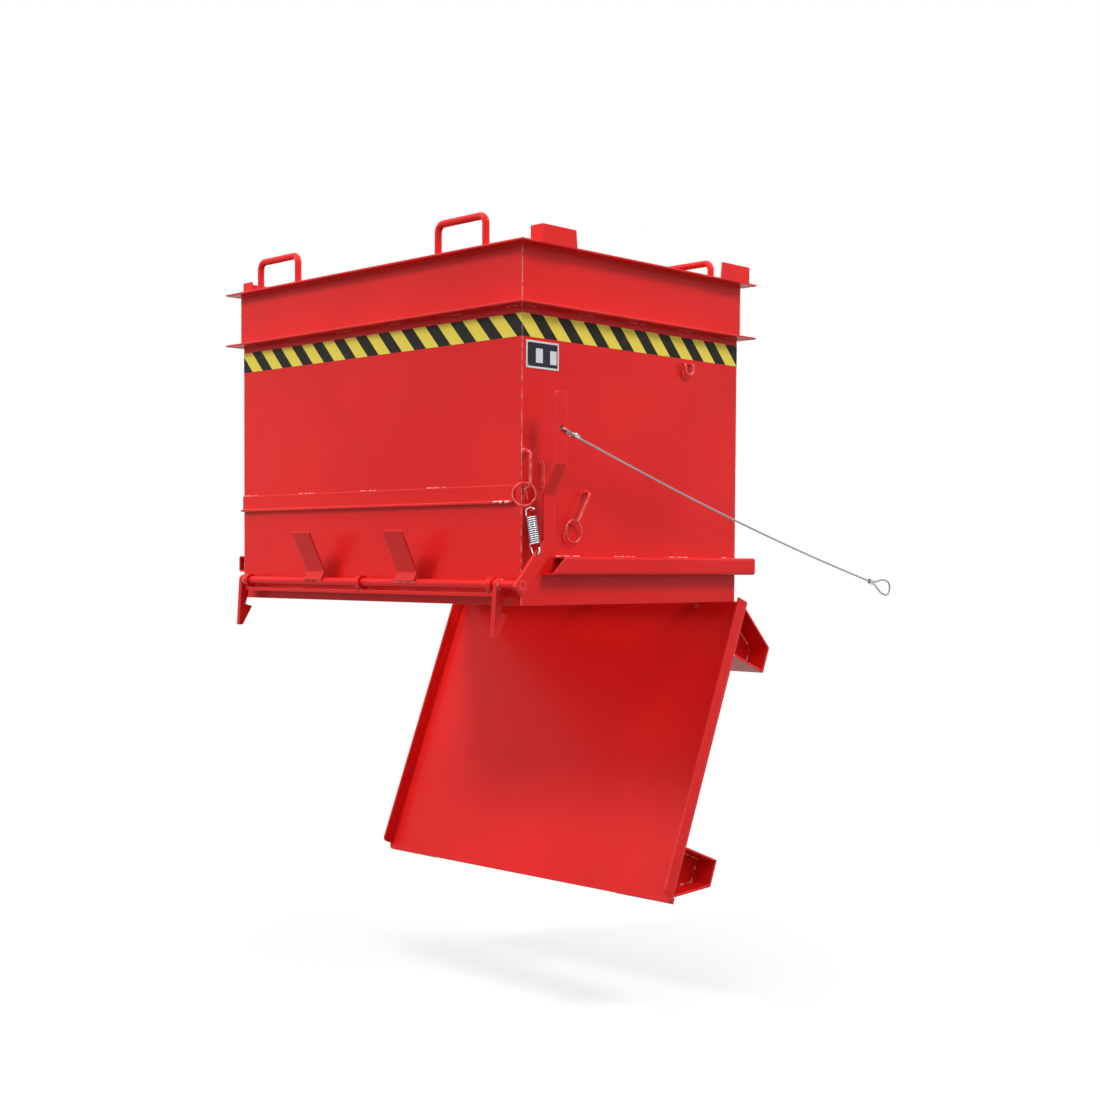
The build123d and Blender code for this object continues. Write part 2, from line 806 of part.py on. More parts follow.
# Hinge axis on the rear wall, and the open flap's free edge turned about it
hinge_y = half_y + hinge_back
hinge_height = hinge_lug_radius - hinge_dip
open_turn = radians(flap_open_angle)
edge_back = closed_edge_y - hinge_y
edge_up = closed_under - hinge_height
open_edge_y = hinge_y + edge_back * cos(open_turn) - edge_up * sin(open_turn)
open_edge_z = level(hinge_height + edge_back * sin(open_turn) + edge_up * cos(open_turn))
hinge_setback = sqrt((hinge_lug_radius + hinge_clearance) ** 2 - (hinge_height + flap_gap) ** 2)
flap_length = hinge_y - hinge_setback - closed_edge_y
flap_half = half_x + flap_side_gap + lip_thickness
hinge_along = hinge_y - closed_edge_y
hinge_above = hinge_height - closed_under
hinge_middles = (-hinge_offset, 0, hinge_offset)
lug_inner = flap_lug_thickness / 2 + hinge_side_gap
lug_outer = lug_inner + hinge_lug_thickness

# Container lugs in pairs, and the pins through them
with BuildPart() as hinge_lugs:
    lug_starts = [x - lug_outer for x in hinge_middles] + [x + lug_inner for x in hinge_middles]
    with BuildSketch(*[Plane.YZ.offset(x) for x in lug_starts]):
        with Locations((hinge_y, level(hinge_height))):
            Circle(hinge_lug_radius)
        arm_rise = hinge_height + hinge_lug_radius - hinge_lug_lift
        with Locations((half_y + hinge_back / 2, level(hinge_lug_lift + arm_rise / 2))):
            Rectangle(hinge_back, arm_rise)
        with Locations((hinge_y, level(hinge_height))):
            Circle(hinge_pin_diameter / 2 + running_gap, mode=Mode.SUBTRACT)
    extrude(amount=hinge_lug_thickness)
save(hinge_lugs, "hinge_lugs")

with BuildPart() as hinge_pins:
    pin_half_length = lug_outer + hinge_pin_proud
    with BuildSketch(*[Plane.YZ.offset(x - pin_half_length) for x in hinge_middles]):
        with Locations((hinge_y, level(hinge_height))):
            Circle(hinge_pin_diameter / 2)
    extrude(amount=2 * pin_half_length)
save(hinge_pins, "hinge_pins")


def flap_section(x):
    """Plane across the open flap: local X runs from its free edge to the hinge, local Y into the box."""
    along = (0, cos(open_turn), sin(open_turn))
    return Plane(origin=(x, open_edge_y, open_edge_z), x_dir=along, z_dir=(1, 0, 0))


# Flap plate, with its two free corners cut off
with BuildPart() as flap_plate:
    with BuildSketch(flap_section(-flap_half)):
        with Locations((flap_length / 2, flap_thickness / 2)):
            Rectangle(flap_length, flap_thickness)
    extrude(amount=2 * flap_half)
    thin_edges = flap_plate.edges().filter_by(
        lambda edge: abs(edge.length - flap_thickness) < wall_thickness / 2)
    chamfer(thin_edges.sort_by(Axis.Z)[:4].sort_by(Axis.Y)[:2], flap_corner)
save(flap_plate, "flap_plate")

# Lips that close outside the side walls
for side, lip_x in (("left", -flap_half), ("right", flap_half - lip_thickness)):
    with BuildPart() as lip:
        with BuildSketch(flap_section(lip_x)) as lip_view:
            middle_along = (catch_bar_width + flap_length) / 2
            with Locations((middle_along, (flap_thickness + lip_height) / 2)):
                Rectangle(flap_length - catch_bar_width, lip_height - flap_thickness)
            fillet(lip_view.vertices().group_by(Axis.X)[0].sort_by(Axis.Y)[-1], lip_round)
        extrude(amount=lip_thickness)
    save(lip, f"flap_lip_{side}")

# Catch bars under the free edge, where the hooks hold the flap
catch_end = flap_half - catch_bar_end
for side, bar_x in (("left", -catch_end), ("right", catch_end - catch_bar_length)):
    with BuildPart() as catch_bar:
        with BuildSketch(flap_section(bar_x)):
            with Locations((catch_bar_width / 2, -catch_bar_thickness / 2)):
                Rectangle(catch_bar_width, catch_bar_thickness)
        extrude(amount=catch_bar_length)
    save(catch_bar, f"catch_bar_{side}")

# Skids: bent sheet channels across the flap's underside, their slanted sides facing its ends
skid_slope = skid_foot - skid_web
slant_sheet = skid_sheet * sqrt(skid_slope**2 + skid_depth**2) / skid_depth
slant_floor = slant_sheet + skid_slope * (skid_depth - skid_sheet) / skid_depth
skid_outside = [(0, 0), (skid_slope, -skid_depth), (skid_foot, -skid_depth), (skid_foot, 0)]
skid_inside = [
    (slant_sheet, 0),
    (slant_floor, skid_sheet - skid_depth),
    (skid_foot - skid_sheet, skid_sheet - skid_depth),
    (skid_foot - skid_sheet, 0),
]
skid_front_at = catch_bar_width
skid_rear_at = flap_length - skid_rear_gap


def skid_outline(outline, start, way):
    """Skid section laid along the flap from its slanted side's foot; way is 1 towards the hinge."""
    return [(start + way * along, rise) for along, rise in outline]


for end, start, way in (("front", skid_front_at, 1), ("rear", skid_rear_at, -1)):
    with BuildPart() as skid:
        with BuildSketch(flap_section(-flap_half)):
            Polygon(*skid_outline(skid_outside, start, way))
            Polygon(*skid_outline(skid_inside, start, way), mode=Mode.SUBTRACT)
        extrude(amount=2 * flap_half)
    save(skid, f"skid_{end}")

# Closing plates set back inside both ends of each skid
end_plate_x = flap_half - skid_end_inset
with BuildPart() as skid_end_plates:
    with BuildSketch(flap_section(-end_plate_x), flap_section(end_plate_x - skid_end_sheet)):
        Polygon(*skid_outline(skid_inside, skid_front_at, 1))
        Polygon(*skid_outline(skid_inside, skid_rear_at, -1))
    extrude(amount=skid_end_sheet)
save(skid_end_plates, "skid_end_plates")

# Flap lugs on the plate, one between each pair of container lugs
with BuildPart() as flap_lugs:
    foot_start = hinge_along - hinge_back + flap_lug_wall_gap
    foot_length = flap_length - foot_start
    with BuildSketch(*[flap_section(x - flap_lug_thickness / 2) for x in hinge_middles]):
        with Locations((hinge_along, hinge_above)):
            Circle(hinge_lug_radius)
        with Locations((foot_start + foot_length / 2, flap_thickness + flap_lug_foot / 2)):
            Rectangle(foot_length, flap_lug_foot)
        make_hull()
        with Locations((hinge_along, hinge_above)):
            Circle(hinge_pin_diameter / 2 + running_gap, mode=Mode.SUBTRACT)
        with Locations((flap_length / 2, flap_thickness / 2)):
            Rectangle(flap_length, flap_thickness, mode=Mode.SUBTRACT)
    extrude(amount=flap_lug_thickness)
save(flap_lugs, "flap_lugs")

# Start of the pull rope in the lever's hole, and its direction there
rope_start = Vector(lever_upper_x + lever_thickness / 2, rope_hole_y, level(rope_hole_height))
rope_along = Vector(0, rope_route[0][0], -rope_route[0][1]).normalized()
sideways = Vector(1, 0, 0)

# Loop of rope through the lever's hole, both its ends in the clamp
loop_half = [
    (clamp_start, rope_leg_pitch / 2),
    (clamp_start - rope_lead, rope_leg_pitch / 2),
    (rope_loop_waist, rope_loop_half),
    (rope_loop_seat, rope_loop_half),
]
loop_run = [rope_start + rope_along * along + sideways * out for along, out in loop_half]
loop_run += [rope_start + rope_along * along - sideways * out for along, out in reversed(loop_half)]
loop_bends = [rope_lead_bend, rope_loop_waist_bend, rope_loop_bend]
save(round_bar(loop_run, loop_bends + loop_bends[::-1], rope_diameter), "rope_loop")

with BuildPart() as rope_clamp:
    clamp_face = rope_start + rope_along * clamp_start
    with BuildSketch(Plane(origin=clamp_face, x_dir=sideways, z_dir=rope_along)):
        RectangleRounded(clamp_width, clamp_depth, clamp_edge)
    extrude(amount=clamp_length)
save(rope_clamp, "rope_clamp")

# Pull rope from the clamp to the hand loop's ferrule, in long runs with wide bends
rope_points = [rope_start + rope_along * (clamp_start + clamp_length)]
rope_points += [rope_start + Vector(0, back, -down) for back, down in rope_route]
rope_runs = [end - start for start, end in zip(rope_points, rope_points[1:])]
rope_bends = []
for before, after in zip(rope_runs, rope_runs[1:]):
    half_angle = radians(before.get_angle(after)) / 2
    rope_bends.append(bend_share * min(before.length, after.length) / tan(half_angle))
pull_rope = round_bar(rope_points, rope_bends, rope_diameter)
save(pull_rope, "pull_rope")
rope_length = sum(run.length for run in rope_runs)
rope_volume = pi * rope_diameter**2 / 4 * rope_length
print("rope: bends", [round(bend) for bend in rope_bends], f"length {rope_length:.0f}")
print(f"rope: volume {pull_rope.part.volume:.0f}, section times length {rope_volume:.0f}")

# Ferrule and hand loop at the rope's far end
hand_along = rope_runs[-1].normalized()
hand_up = sideways.cross(hand_along)
ferrule_face = rope_points[-1]
with BuildPart() as hand_ferrule:
    with BuildSketch(Plane(origin=ferrule_face, x_dir=hand_up, z_dir=hand_along)):
        RectangleRounded(ferrule_width, ferrule_depth, ferrule_edge)
    extrude(amount=ferrule_length)
save(hand_ferrule, "hand_ferrule")

hand_start = ferrule_face + hand_along * ferrule_length
hand_half = [(0, rope_leg_pitch / 2), (rope_lead, rope_leg_pitch / 2)] + hand_loop_outline
hand_run = [hand_start + hand_along * along + hand_up * out for along, out in hand_half]
hand_run += [hand_start + hand_along * along - hand_up * out for along, out in reversed(hand_half)]
hand_bends = [rope_lead_bend] + hand_loop_bends
save(round_bar(hand_run, hand_bends + hand_bends[::-1], rope_diameter), "hand_loop")
print(f"flap: open angle {degrees(open_turn):.2f}, hinge at {hinge_y:.1f}, {level(hinge_height):.1f}")
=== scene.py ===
# %% [markdown]
# A steel container for building material hangs in the air with its bottom flap swung open.
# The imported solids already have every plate, bar and pin at its real place, in metres.
# This lesson dresses them: a wire rope, a spring, red enamel, warning tape, weld beads and light.
# What the solids show well enough only gets a finish; the rope and the spring are drawn again, finer.

import math

import bpy
from mathutils import Matrix, Vector


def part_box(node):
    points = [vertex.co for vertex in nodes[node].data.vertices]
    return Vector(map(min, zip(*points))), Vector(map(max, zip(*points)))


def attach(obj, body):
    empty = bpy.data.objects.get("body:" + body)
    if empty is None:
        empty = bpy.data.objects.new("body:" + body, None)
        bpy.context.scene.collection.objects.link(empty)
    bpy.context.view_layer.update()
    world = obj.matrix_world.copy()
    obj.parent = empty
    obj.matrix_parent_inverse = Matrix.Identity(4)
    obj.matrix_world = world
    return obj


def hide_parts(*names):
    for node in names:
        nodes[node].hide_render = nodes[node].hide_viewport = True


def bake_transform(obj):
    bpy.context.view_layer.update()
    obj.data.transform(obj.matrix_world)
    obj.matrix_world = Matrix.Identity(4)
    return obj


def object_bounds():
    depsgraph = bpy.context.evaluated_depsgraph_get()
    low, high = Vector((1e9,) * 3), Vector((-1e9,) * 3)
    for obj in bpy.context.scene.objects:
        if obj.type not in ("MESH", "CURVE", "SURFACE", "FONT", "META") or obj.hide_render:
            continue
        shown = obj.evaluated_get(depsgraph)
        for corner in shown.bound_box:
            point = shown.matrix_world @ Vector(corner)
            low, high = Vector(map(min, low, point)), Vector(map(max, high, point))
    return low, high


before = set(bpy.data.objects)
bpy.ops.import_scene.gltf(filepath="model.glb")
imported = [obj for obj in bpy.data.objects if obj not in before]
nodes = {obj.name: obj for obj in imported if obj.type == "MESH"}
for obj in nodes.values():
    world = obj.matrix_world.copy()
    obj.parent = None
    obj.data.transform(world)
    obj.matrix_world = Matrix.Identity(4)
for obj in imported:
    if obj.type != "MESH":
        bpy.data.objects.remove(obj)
cad_low, cad_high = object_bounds()
print(f"{len(nodes)} solids, {cad_high.z - cad_low.z:.3f} m from the lowest to the highest point")

# %% [markdown]
# A fitter measures this box from the lower edge of its walls, so heights here count from that edge.
# The front wall's solid tells where the edge and the box's faces are.

# %% Faces of the box
MM = 0.001
CORNERS = [(-1, -1), (1, -1), (1, 1), (-1, 1)]
wall_low, wall_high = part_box("wall_front")
half_x = wall_high.x
half_y = -wall_low.y
wall_foot = wall_low.z


def spot(x, y, height):
    """A point from millimetres, its height counted from the walls' lower edge."""
    return Vector((x * MM, y * MM, wall_foot + height * MM))


print(f"box {2 * half_x:.3f} by {2 * half_y:.3f} m, walls start at {wall_foot:.3f} m")

# %% [markdown]
# The camera stands a few metres off the corner with the lever, near the walls' lower edge in height.
# Its place, heading, tilt and lens were solved from the box's edges in the photograph.
# The picture's middle lies off the lens axis, as in a trimmed picture: that is the shift.

# %% Camera
CAMERA_PLACE = spot(3640, -3429, 110.7)
CAMERA_HEADING = math.radians(134.90)
CAMERA_TILT = math.radians(-2.146)
CAMERA_ROLL = math.radians(0.303)
LENS_MM = 53.155
SENSOR_MM = 36.0
FRAME_SHIFT = (0.0139, 0.0677)

camera_data = bpy.data.cameras.new("camera")
camera_data.lens = LENS_MM
camera_data.sensor_width = SENSOR_MM
camera_data.shift_x, camera_data.shift_y = FRAME_SHIFT
camera = bpy.data.objects.new("camera", camera_data)
bpy.context.scene.collection.objects.link(camera)
heading = Matrix.Rotation(CAMERA_HEADING - math.pi / 2, 4, "Z")
tilt = Matrix.Rotation(math.pi / 2 + CAMERA_TILT, 4, "X")
roll = Matrix.Rotation(CAMERA_ROLL, 4, "Z")
camera.matrix_world = Matrix.Translation(CAMERA_PLACE) @ heading @ tilt @ roll
bpy.context.scene.camera = camera
print(f"camera {CAMERA_PLACE.length:.2f} m from the bows, lens {LENS_MM} mm")

# %% [markdown]
# Finishes are node trees, and their maths reads best as plain arithmetic.
# Value wraps one socket: each operator adds the Math node that it stands for.
# Tree makes any other node in one method, settings first, then the values or links of its sockets.
# The same two classes build the shader trees and, later on, the Geometry Nodes tree.


# %% Arithmetic on sockets
class Value:
    """One output socket, with arithmetic that adds Math nodes to its tree."""

    def __init__(self, tree, socket):
        self.tree = tree
        self.socket = socket

    def maths(self, operation, first, second=0.0):
        return self.tree.node("ShaderNodeMath", {"operation": operation}, {0: first, 1: second})

    def __add__(self, other):
        return self.maths("ADD", self, other)

    def __sub__(self, other):
        return self.maths("SUBTRACT", self, other)

    def __rsub__(self, other):
        return self.maths("SUBTRACT", other, self)

    def __mul__(self, other):
        return self.maths("MULTIPLY", self, other)

    def __truediv__(self, other):
        return self.maths("DIVIDE", self, other)

    def __lt__(self, other):
        return self.maths("LESS_THAN", self, other)

    def __gt__(self, other):
        return self.maths("GREATER_THAN", self, other)

    __radd__ = __add__
    __rmul__ = __mul__

    def fraction(self):
        """What is left of a value above its whole number."""
        return self.maths("FRACT", self)

    def wave(self):
        """Sine of a value in turns."""
        return self.maths("SINE", self * (2 * math.pi))

    def off(self, middle):
        """Distance from a middle value."""
        return self.maths("ABSOLUTE", self - middle)

    def step(self, low, high):
        """0 below low, 1 above high, and a soft step between."""
        settings = {"interpolation_type": "SMOOTHSTEP"}
        inputs = {"Value": self, "From Min": low, "From Max": high}
        return self.tree.node("ShaderNodeMapRange", settings, inputs)

    def output(self, name):
        """Another output of the node that gave this value."""
        return Value(self.tree, self.socket.node.outputs[name])


class Tree:
    """A node tree under construction."""

    def __init__(self, tree):
        self.tree = tree
        self.tree.nodes.clear()

    def node(self, kind, settings=None, inputs=None):
        made = self.tree.nodes.new(kind)
        for key, value in (settings or {}).items():
            setattr(made, key, value)
        for key, value in (inputs or {}).items():
            if isinstance(value, Value):
                self.tree.links.new(value.socket, made.inputs[key])
            else:
                made.inputs[key].default_value = value
        return Value(self, made.outputs[0]) if made.outputs else None


print("node helpers ready")

# %% [markdown]
# A finish is a tree that ends in one Principled shader.
# Its patterns lie on Object coordinates, metres in the part's own frame, so they never slide.
# Colours are written as a screen picker shows them, and turned into the shaders' linear numbers.


# %% Finishes
class Finish(Tree):
    """A material under construction."""

    def __init__(self, name):
        self.material = bpy.data.materials.new(name)
        self.material.use_nodes = True
        super().__init__(self.material.node_tree)
        self.place = self.node("ShaderNodeTexCoord").output("Object")

    def mix(self, first, second, share):
        """First colour where the share is 0, second where it is 1."""
        inputs = {0: share, 6: first, 7: second}
        blended = self.node("ShaderNodeMix", {"data_type": "RGBA"}, inputs)
        return Value(self, blended.socket.node.outputs[2])

    def noise(self, scale, detail=4.0):
        """Soft random values around 0.5, with so many bumps to the metre."""
        inputs = {"Vector": self.place, "Scale": scale, "Detail": detail}
        return self.node("ShaderNodeTexNoise", None, inputs)

    def vector(self, operation, first, second):
        return self.node("ShaderNodeVectorMath", {"operation": operation}, {0: first, 1: second})

    def axis(self, vector, name):
        return self.node("ShaderNodeSeparateXYZ", None, {"Vector": vector}).output(name)

    def bump(self, relief, depth, **more):
        return self.node("ShaderNodeBump", None, {"Height": relief, "Distance": depth, **more})

    def surface(self, **sockets):
        """End in a Principled shader; an underscore in a name stands for a space."""
        inputs = {key.replace("_", " "): value for key, value in sockets.items()}
        shader = self.node("ShaderNodeBsdfPrincipled", None, inputs)
        self.node("ShaderNodeOutputMaterial", None, {"Surface": shader})
        return self.material


def picked(red, green, blue):
    """Linear colour from a screen picker's numbers, 0 to 255."""
    screen = [channel / 255 for channel in (red, green, blue)]
    linear = [c / 12.92 if c <= 0.04045 else ((c + 0.055) / 1.055) ** 2.4 for c in screen]
    return (*linear, 1.0)


def coat(material, *names):
    """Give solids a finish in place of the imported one."""
    for name in names:
        nodes[name].data.materials.clear()
        nodes[name].data.materials.append(material)


print("finish helpers ready")

# %% [markdown]
# The pull rope is bare steel wire, and its clamp and ferrule are zinc-plated steel.
# Zinc shows a soft crystal mottle, and the press that closed the ferrule left shallow rings on it.
# A wave along the rope's direction gives those rings as a bump, as they are too shallow for faces.

# %% Wire and zinc
ZINC_LIGHT = picked(206, 208, 208)
ZINC_DARK = picked(142, 146, 150)
WIRE_LIGHT = picked(184, 185, 190)
WIRE_DARK = picked(108, 109, 114)
PRESS_RING = 0.0052
WIRE_GRAIN = 900.0
ZINC_GRAIN = 300.0
METALLIC = 0.85


def bright_metal(name, light, dark, grain, rings_along=None):
    metal = Finish(name)
    crystals = metal.node("ShaderNodeTexVoronoi", None, {"Vector": metal.place, "Scale": grain})
    grime = metal.noise(160.0)
    relief = metal.bump(grime, 0.0001)
    if rings_along is not None:
        reach = metal.vector("DOT_PRODUCT", metal.place, rings_along).output("Value")
        relief = metal.bump((reach / PRESS_RING).wave(), 0.0005, Normal=relief)
    colour = metal.mix(light, dark, crystals * 0.4 + grime.step(0.45, 0.8) * 0.5)
    roughness = 0.24 + grime * 0.2
    return metal.surface(Base_Color=colour, Metallic=METALLIC, Roughness=roughness, Normal=relief)


wire = bright_metal("rope_wire", WIRE_LIGHT, WIRE_DARK, WIRE_GRAIN)
zinc = bright_metal("zinc_plating", ZINC_LIGHT, ZINC_DARK, ZINC_GRAIN)
coat(zinc, "plate_rivets", "rope_clamp")
print(f"finishes {wire.name} and {zinc.name}")

# %% [markdown]
# The rope is looped through the lever, clamped, and runs back in a long shallow sag to a hand loop.
# A few given points steer a NURBS spline, and Blender turns it into one smooth line.
# Real wire rope is six strands laid round a core, so tubes are wound round the points of that line.

# %% Lines and tubes
ROPE_DIAMETER = 0.006
STRANDS = 6
LAY_LENGTH = 0.042
STRAND_SIDES = 6


def spline_line(name, route, resolution):
    """Points of the smooth NURBS line that a route's points steer."""
    curve = bpy.data.curves.new(name, "CURVE")
    curve.dimensions = "3D"
    curve.resolution_u = resolution
    spline = curve.splines.new("NURBS")
    spline.points.add(len(route) - 1)
    for control, point in zip(spline.points, route):
        control.co = (*point, 1.0)
    spline.order_u = 3
    spline.use_endpoint_u = True
    carrier = bpy.data.objects.new(name, curve)
    bpy.context.scene.collection.objects.link(carrier)
    graph = bpy.context.evaluated_depsgraph_get()
    mesh = bpy.data.meshes.new_from_object(carrier.evaluated_get(graph))
    line = [vertex.co.copy() for vertex in mesh.vertices]
    bpy.data.objects.remove(carrier)
    bpy.data.meshes.remove(mesh)
    return line


def carried_frames(line):
    """Two directions square to a line at each of its points, carried along without twist."""
    last = len(line) - 1
    ways = [(line[min(i + 1, last)] - line[max(i - 1, 0)]).normalized() for i in range(len(line))]
    side = ways[0].orthogonal().normalized()
    frames = []
    for way in ways:
        side = (side - way * side.dot(way)).normalized()
        frames.append((side, way.cross(side)))
    return frames


def reaches(line):
    """Distance along a line at each of its points."""
    total = [0.0]
    for start, end in zip(line, line[1:]):
        total.append(total[-1] + (end - start).length)
    return total


def add_tube(line, radii, sides, vertices, faces):
    """Add a round tube with closed ends and a radius at each point to the lists of a mesh."""
    first = len(vertices)
    for point, radius, (side, up) in zip(line, radii, carried_frames(line)):
        for number in range(sides):
            turn = 2 * math.pi * number / sides
            vertices.append(point + (side * math.cos(turn) + up * math.sin(turn)) * radius)
    for ring in range(len(line) - 1):
        low = first + ring * sides
        for number in range(sides):
            after = (number + 1) % sides
            faces.append((low + number, low + after, low + sides + after, low + sides + number))
    last = len(vertices) - sides
    faces.append(tuple(reversed(range(first, first + sides))))
    faces.append(tuple(range(last, last + sides)))


def mesh_piece(name, vertices, faces, material, smooth=True):
    """A mesh object at the origin, its place in its mesh."""
    mesh = bpy.data.meshes.new(name)
    mesh.from_pydata(vertices, [], faces)
    mesh.materials.append(material)
    mesh.polygons.foreach_set("use_smooth", [smooth] * len(mesh.polygons))
    mesh.update()
    made = bpy.data.objects.new(name, mesh)
    bpy.context.scene.collection.objects.link(made)
    return made


def wire_rope(name, line):
    """Six strands wound round a core strand, along a line."""
    strand = ROPE_DIAMETER / 6
    radii = [strand] * len(line)
    vertices, faces = [], []
    add_tube(line, radii, STRAND_SIDES, vertices, faces)
    for number in range(STRANDS):
        helix = []
        for point, (side, up), reach in zip(line, carried_frames(line), reaches(line)):
            turn = 2 * math.pi * (number / STRANDS + reach / LAY_LENGTH)
            helix.append(point + (side * math.cos(turn) + up * math.sin(turn)) * strand * 2)
        add_tube(helix, radii, STRAND_SIDES, vertices, faces)
    return mesh_piece(name, vertices, faces, wire)


def lay_rope(name, node, route, resolution):
    line = spline_line(name, route, resolution)
    rope = wire_rope(name, line)
    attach(rope, "rope")
    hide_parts(node)
    reaches(line)[-1]
    print(f"{name}: {reaches(line)[-1]:.3f} m of {ROPE_DIAMETER / MM:.0f} mm rope")


print(f"rope of {STRANDS} strands, one turn in {LAY_LENGTH / MM:.0f} mm")

# %% [markdown]
# One round-headed bolt closes the clamp on the rope, and its bright head shows from the right.
# A turned shape like that is a short straight tube whose radius changes from point to point.

# %% Clamp bolt
ROPE_HOLE = spot(698, -386.5, 463)
ROPE_ROUTE = [(0.340, 0.1079), (0.640, 0.1967), (0.940, 0.2795), (1.240, 0.3563), (1.440, 0.4030)]
CLAMP_HALF = 0.0075
BOLT_REACH = 0.054
BOLT_RISES = [-0.0010, 0.0004, 0.0026, 0.0040, 0.0047]
BOLT_RADII = [0.0064, 0.0068, 0.0068, 0.0054, 0.0028]
BOLT_SIDES = 24

sideways = Vector((1, 0, 0))
rope_along = Vector((0, ROPE_ROUTE[0][0], -ROPE_ROUTE[0][1])).normalized()
bolt_foot = ROPE_HOLE + rope_along * BOLT_REACH + sideways * CLAMP_HALF
bolt_vertices, bolt_faces = [], []
bolt_line = [bolt_foot + sideways * rise for rise in BOLT_RISES]
add_tube(bolt_line, BOLT_RADII, BOLT_SIDES, bolt_vertices, bolt_faces)
clamp_bolt = mesh_piece("clamp_bolt_head", bolt_vertices, bolt_faces, zinc)
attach(clamp_bolt, "rope")
print(f"bolt head {2 * max(BOLT_RADII) / MM:.1f} mm wide")

# %% [markdown]
# Three runs make up the rope: the loop in the lever's hole, the long pull and the hand loop.
# The long run starts in line with the loop, so the clamp between them sits straight.

# %% Pull rope
CLAMP_NEAR = 0.046
CLAMP_FAR = 0.070
FERRULE_LENGTH = 0.026
LEG_HALF = 0.0034
PULL_STEPS = 100
LEVER_LOOP_STEPS = 10
HAND_LOOP_STEPS = 16
LEVER_LOOP = [(CLAMP_NEAR, LEG_HALF), (0.038, LEG_HALF), (0.016, 0.0095), (0.0024, 0.0095)]
HAND_LOOP = [(0.0, LEG_HALF), (0.008, LEG_HALF), (0.052, 0.025), (0.097, 0.021)]


def loop_route(start, along, across, half):
    """A loop from half its points, given along and across, mirrored to the other half."""
    whole = half + [(reach, -out) for reach, out in reversed(half)]
    return [start + along * reach + across * out for reach, out in whole]


pull_route = [ROPE_HOLE + rope_along * CLAMP_FAR]
pull_route += [ROPE_HOLE + Vector((0, back, -drop)) for back, drop in ROPE_ROUTE]
hand_along = (pull_route[-1] - pull_route[-2]).normalized()
hand_start = pull_route[-1] + hand_along * FERRULE_LENGTH
lever_loop = loop_route(ROPE_HOLE, rope_along, sideways, LEVER_LOOP)
hand_loop = loop_route(hand_start, hand_along, sideways.cross(hand_along), HAND_LOOP)
lay_rope("pull_rope_strands", "pull_rope", pull_route, PULL_STEPS)
lay_rope("lever_loop_strands", "rope_loop", lever_loop, LEVER_LOOP_STEPS)
lay_rope("hand_loop_strands", "hand_loop", hand_loop, HAND_LOOP_STEPS)
pressed = bright_metal("pressed_ferrule", ZINC_LIGHT, ZINC_DARK, ZINC_GRAIN, hand_along)
coat(pressed, "hand_ferrule")

# %% [markdown]
# The return spring pulls the lever back: a loop over its post, coils, and a hook in the lever.
# Its line is a rule: part of a circle, a helix and part of a circle, with smooth leads between.

# %% Spring line
SPRING_WIRE = 0.004
SPRING_RADIUS = 0.012
SPRING_TURNS = 13
SPRING_SIDES = 12
TURN_STEPS = 26
LOOP_STEPS = 20
HOOK_STEPS = 18
LOOP_LEAD_STEPS = 10
HOOK_LEAD_STEPS = 12
LEAD_PULL = 0.6
LOOP_LEAD = 0.0123
HOOK_LEAD = 0.0170
LOOP_SAG = 0.0049
HOOK_LIFT = 0.0129
LOOP_ARC = (-66, 90)
HOOK_ARC = (0, 205)
LOOP_TURN = math.radians(225)
HOOK_TURN = math.radians(190)
POST_SEAT = spot(634, -431, 250)
LEVER_SEAT = spot(656, -429.38, 133.47)


def square_to(way, turn):
    """Direction square to another that comes nearest to a level one at a turn."""
    wish = Vector((math.cos(turn), math.sin(turn), 0))
    return (wish - way * wish.dot(way)).normalized()


def arc(centre, first, second, start, end, steps):
    """Points on a circle from its first towards its second axis, between two angles in radians."""
    turns = [start + (end - start) * number / steps for number in range(steps + 1)]
    return [centre + (first * math.cos(t) + second * math.sin(t)) * SPRING_RADIUS for t in turns]


def lead(before, after, steps):
    """A smooth curve from the end of one run of points to the start of the next."""
    start, end = before[-1], after[0]
    pull = (end - start).length * LEAD_PULL
    leave = start + (before[-1] - before[-2]).normalized() * pull
    arrive = end - (after[1] - after[0]).normalized() * pull
    found = []
    for number in range(1, steps):
        t = number / steps
        near = start.lerp(leave, t).lerp(leave.lerp(arrive, t), t)
        far = leave.lerp(arrive, t).lerp(arrive.lerp(end, t), t)
        found.append(near.lerp(far, t))
    return found


spring_down = (LEVER_SEAT - POST_SEAT).normalized()
loop_side = square_to(spring_down, LOOP_TURN)
loop_cross = spring_down.cross(loop_side)
hook_side = square_to(spring_down, HOOK_TURN)
loop_centre = POST_SEAT + spring_down * LOOP_SAG
hook_centre = LEVER_SEAT - spring_down * HOOK_LIFT
coil_top = loop_centre + spring_down * LOOP_LEAD
coil_length = (hook_centre - loop_centre).length - LOOP_LEAD - HOOK_LEAD
hook_turn = math.atan2(hook_side.dot(loop_cross), hook_side.dot(loop_side))
coil_start = math.pi / 2
coil_end = hook_turn - math.pi / 2 + 2 * math.pi * SPRING_TURNS
coil_steps = TURN_STEPS * SPRING_TURNS
top = arc(loop_centre, -spring_down, loop_side, *map(math.radians, LOOP_ARC), LOOP_STEPS)
flat_coils = arc(coil_top, loop_side, loop_cross, coil_start, coil_end, coil_steps)
coils = [point + spring_down * (coil_length * i / coil_steps) for i, point in enumerate(flat_coils)]
bottom = arc(hook_centre, hook_side, spring_down, *map(math.radians, HOOK_ARC), HOOK_STEPS)
spring_line = top + lead(top, coils, LOOP_LEAD_STEPS) + coils
spring_line += lead(coils, bottom, HOOK_LEAD_STEPS) + bottom
print(f"spring wire {reaches(spring_line)[-1]:.3f} m long")
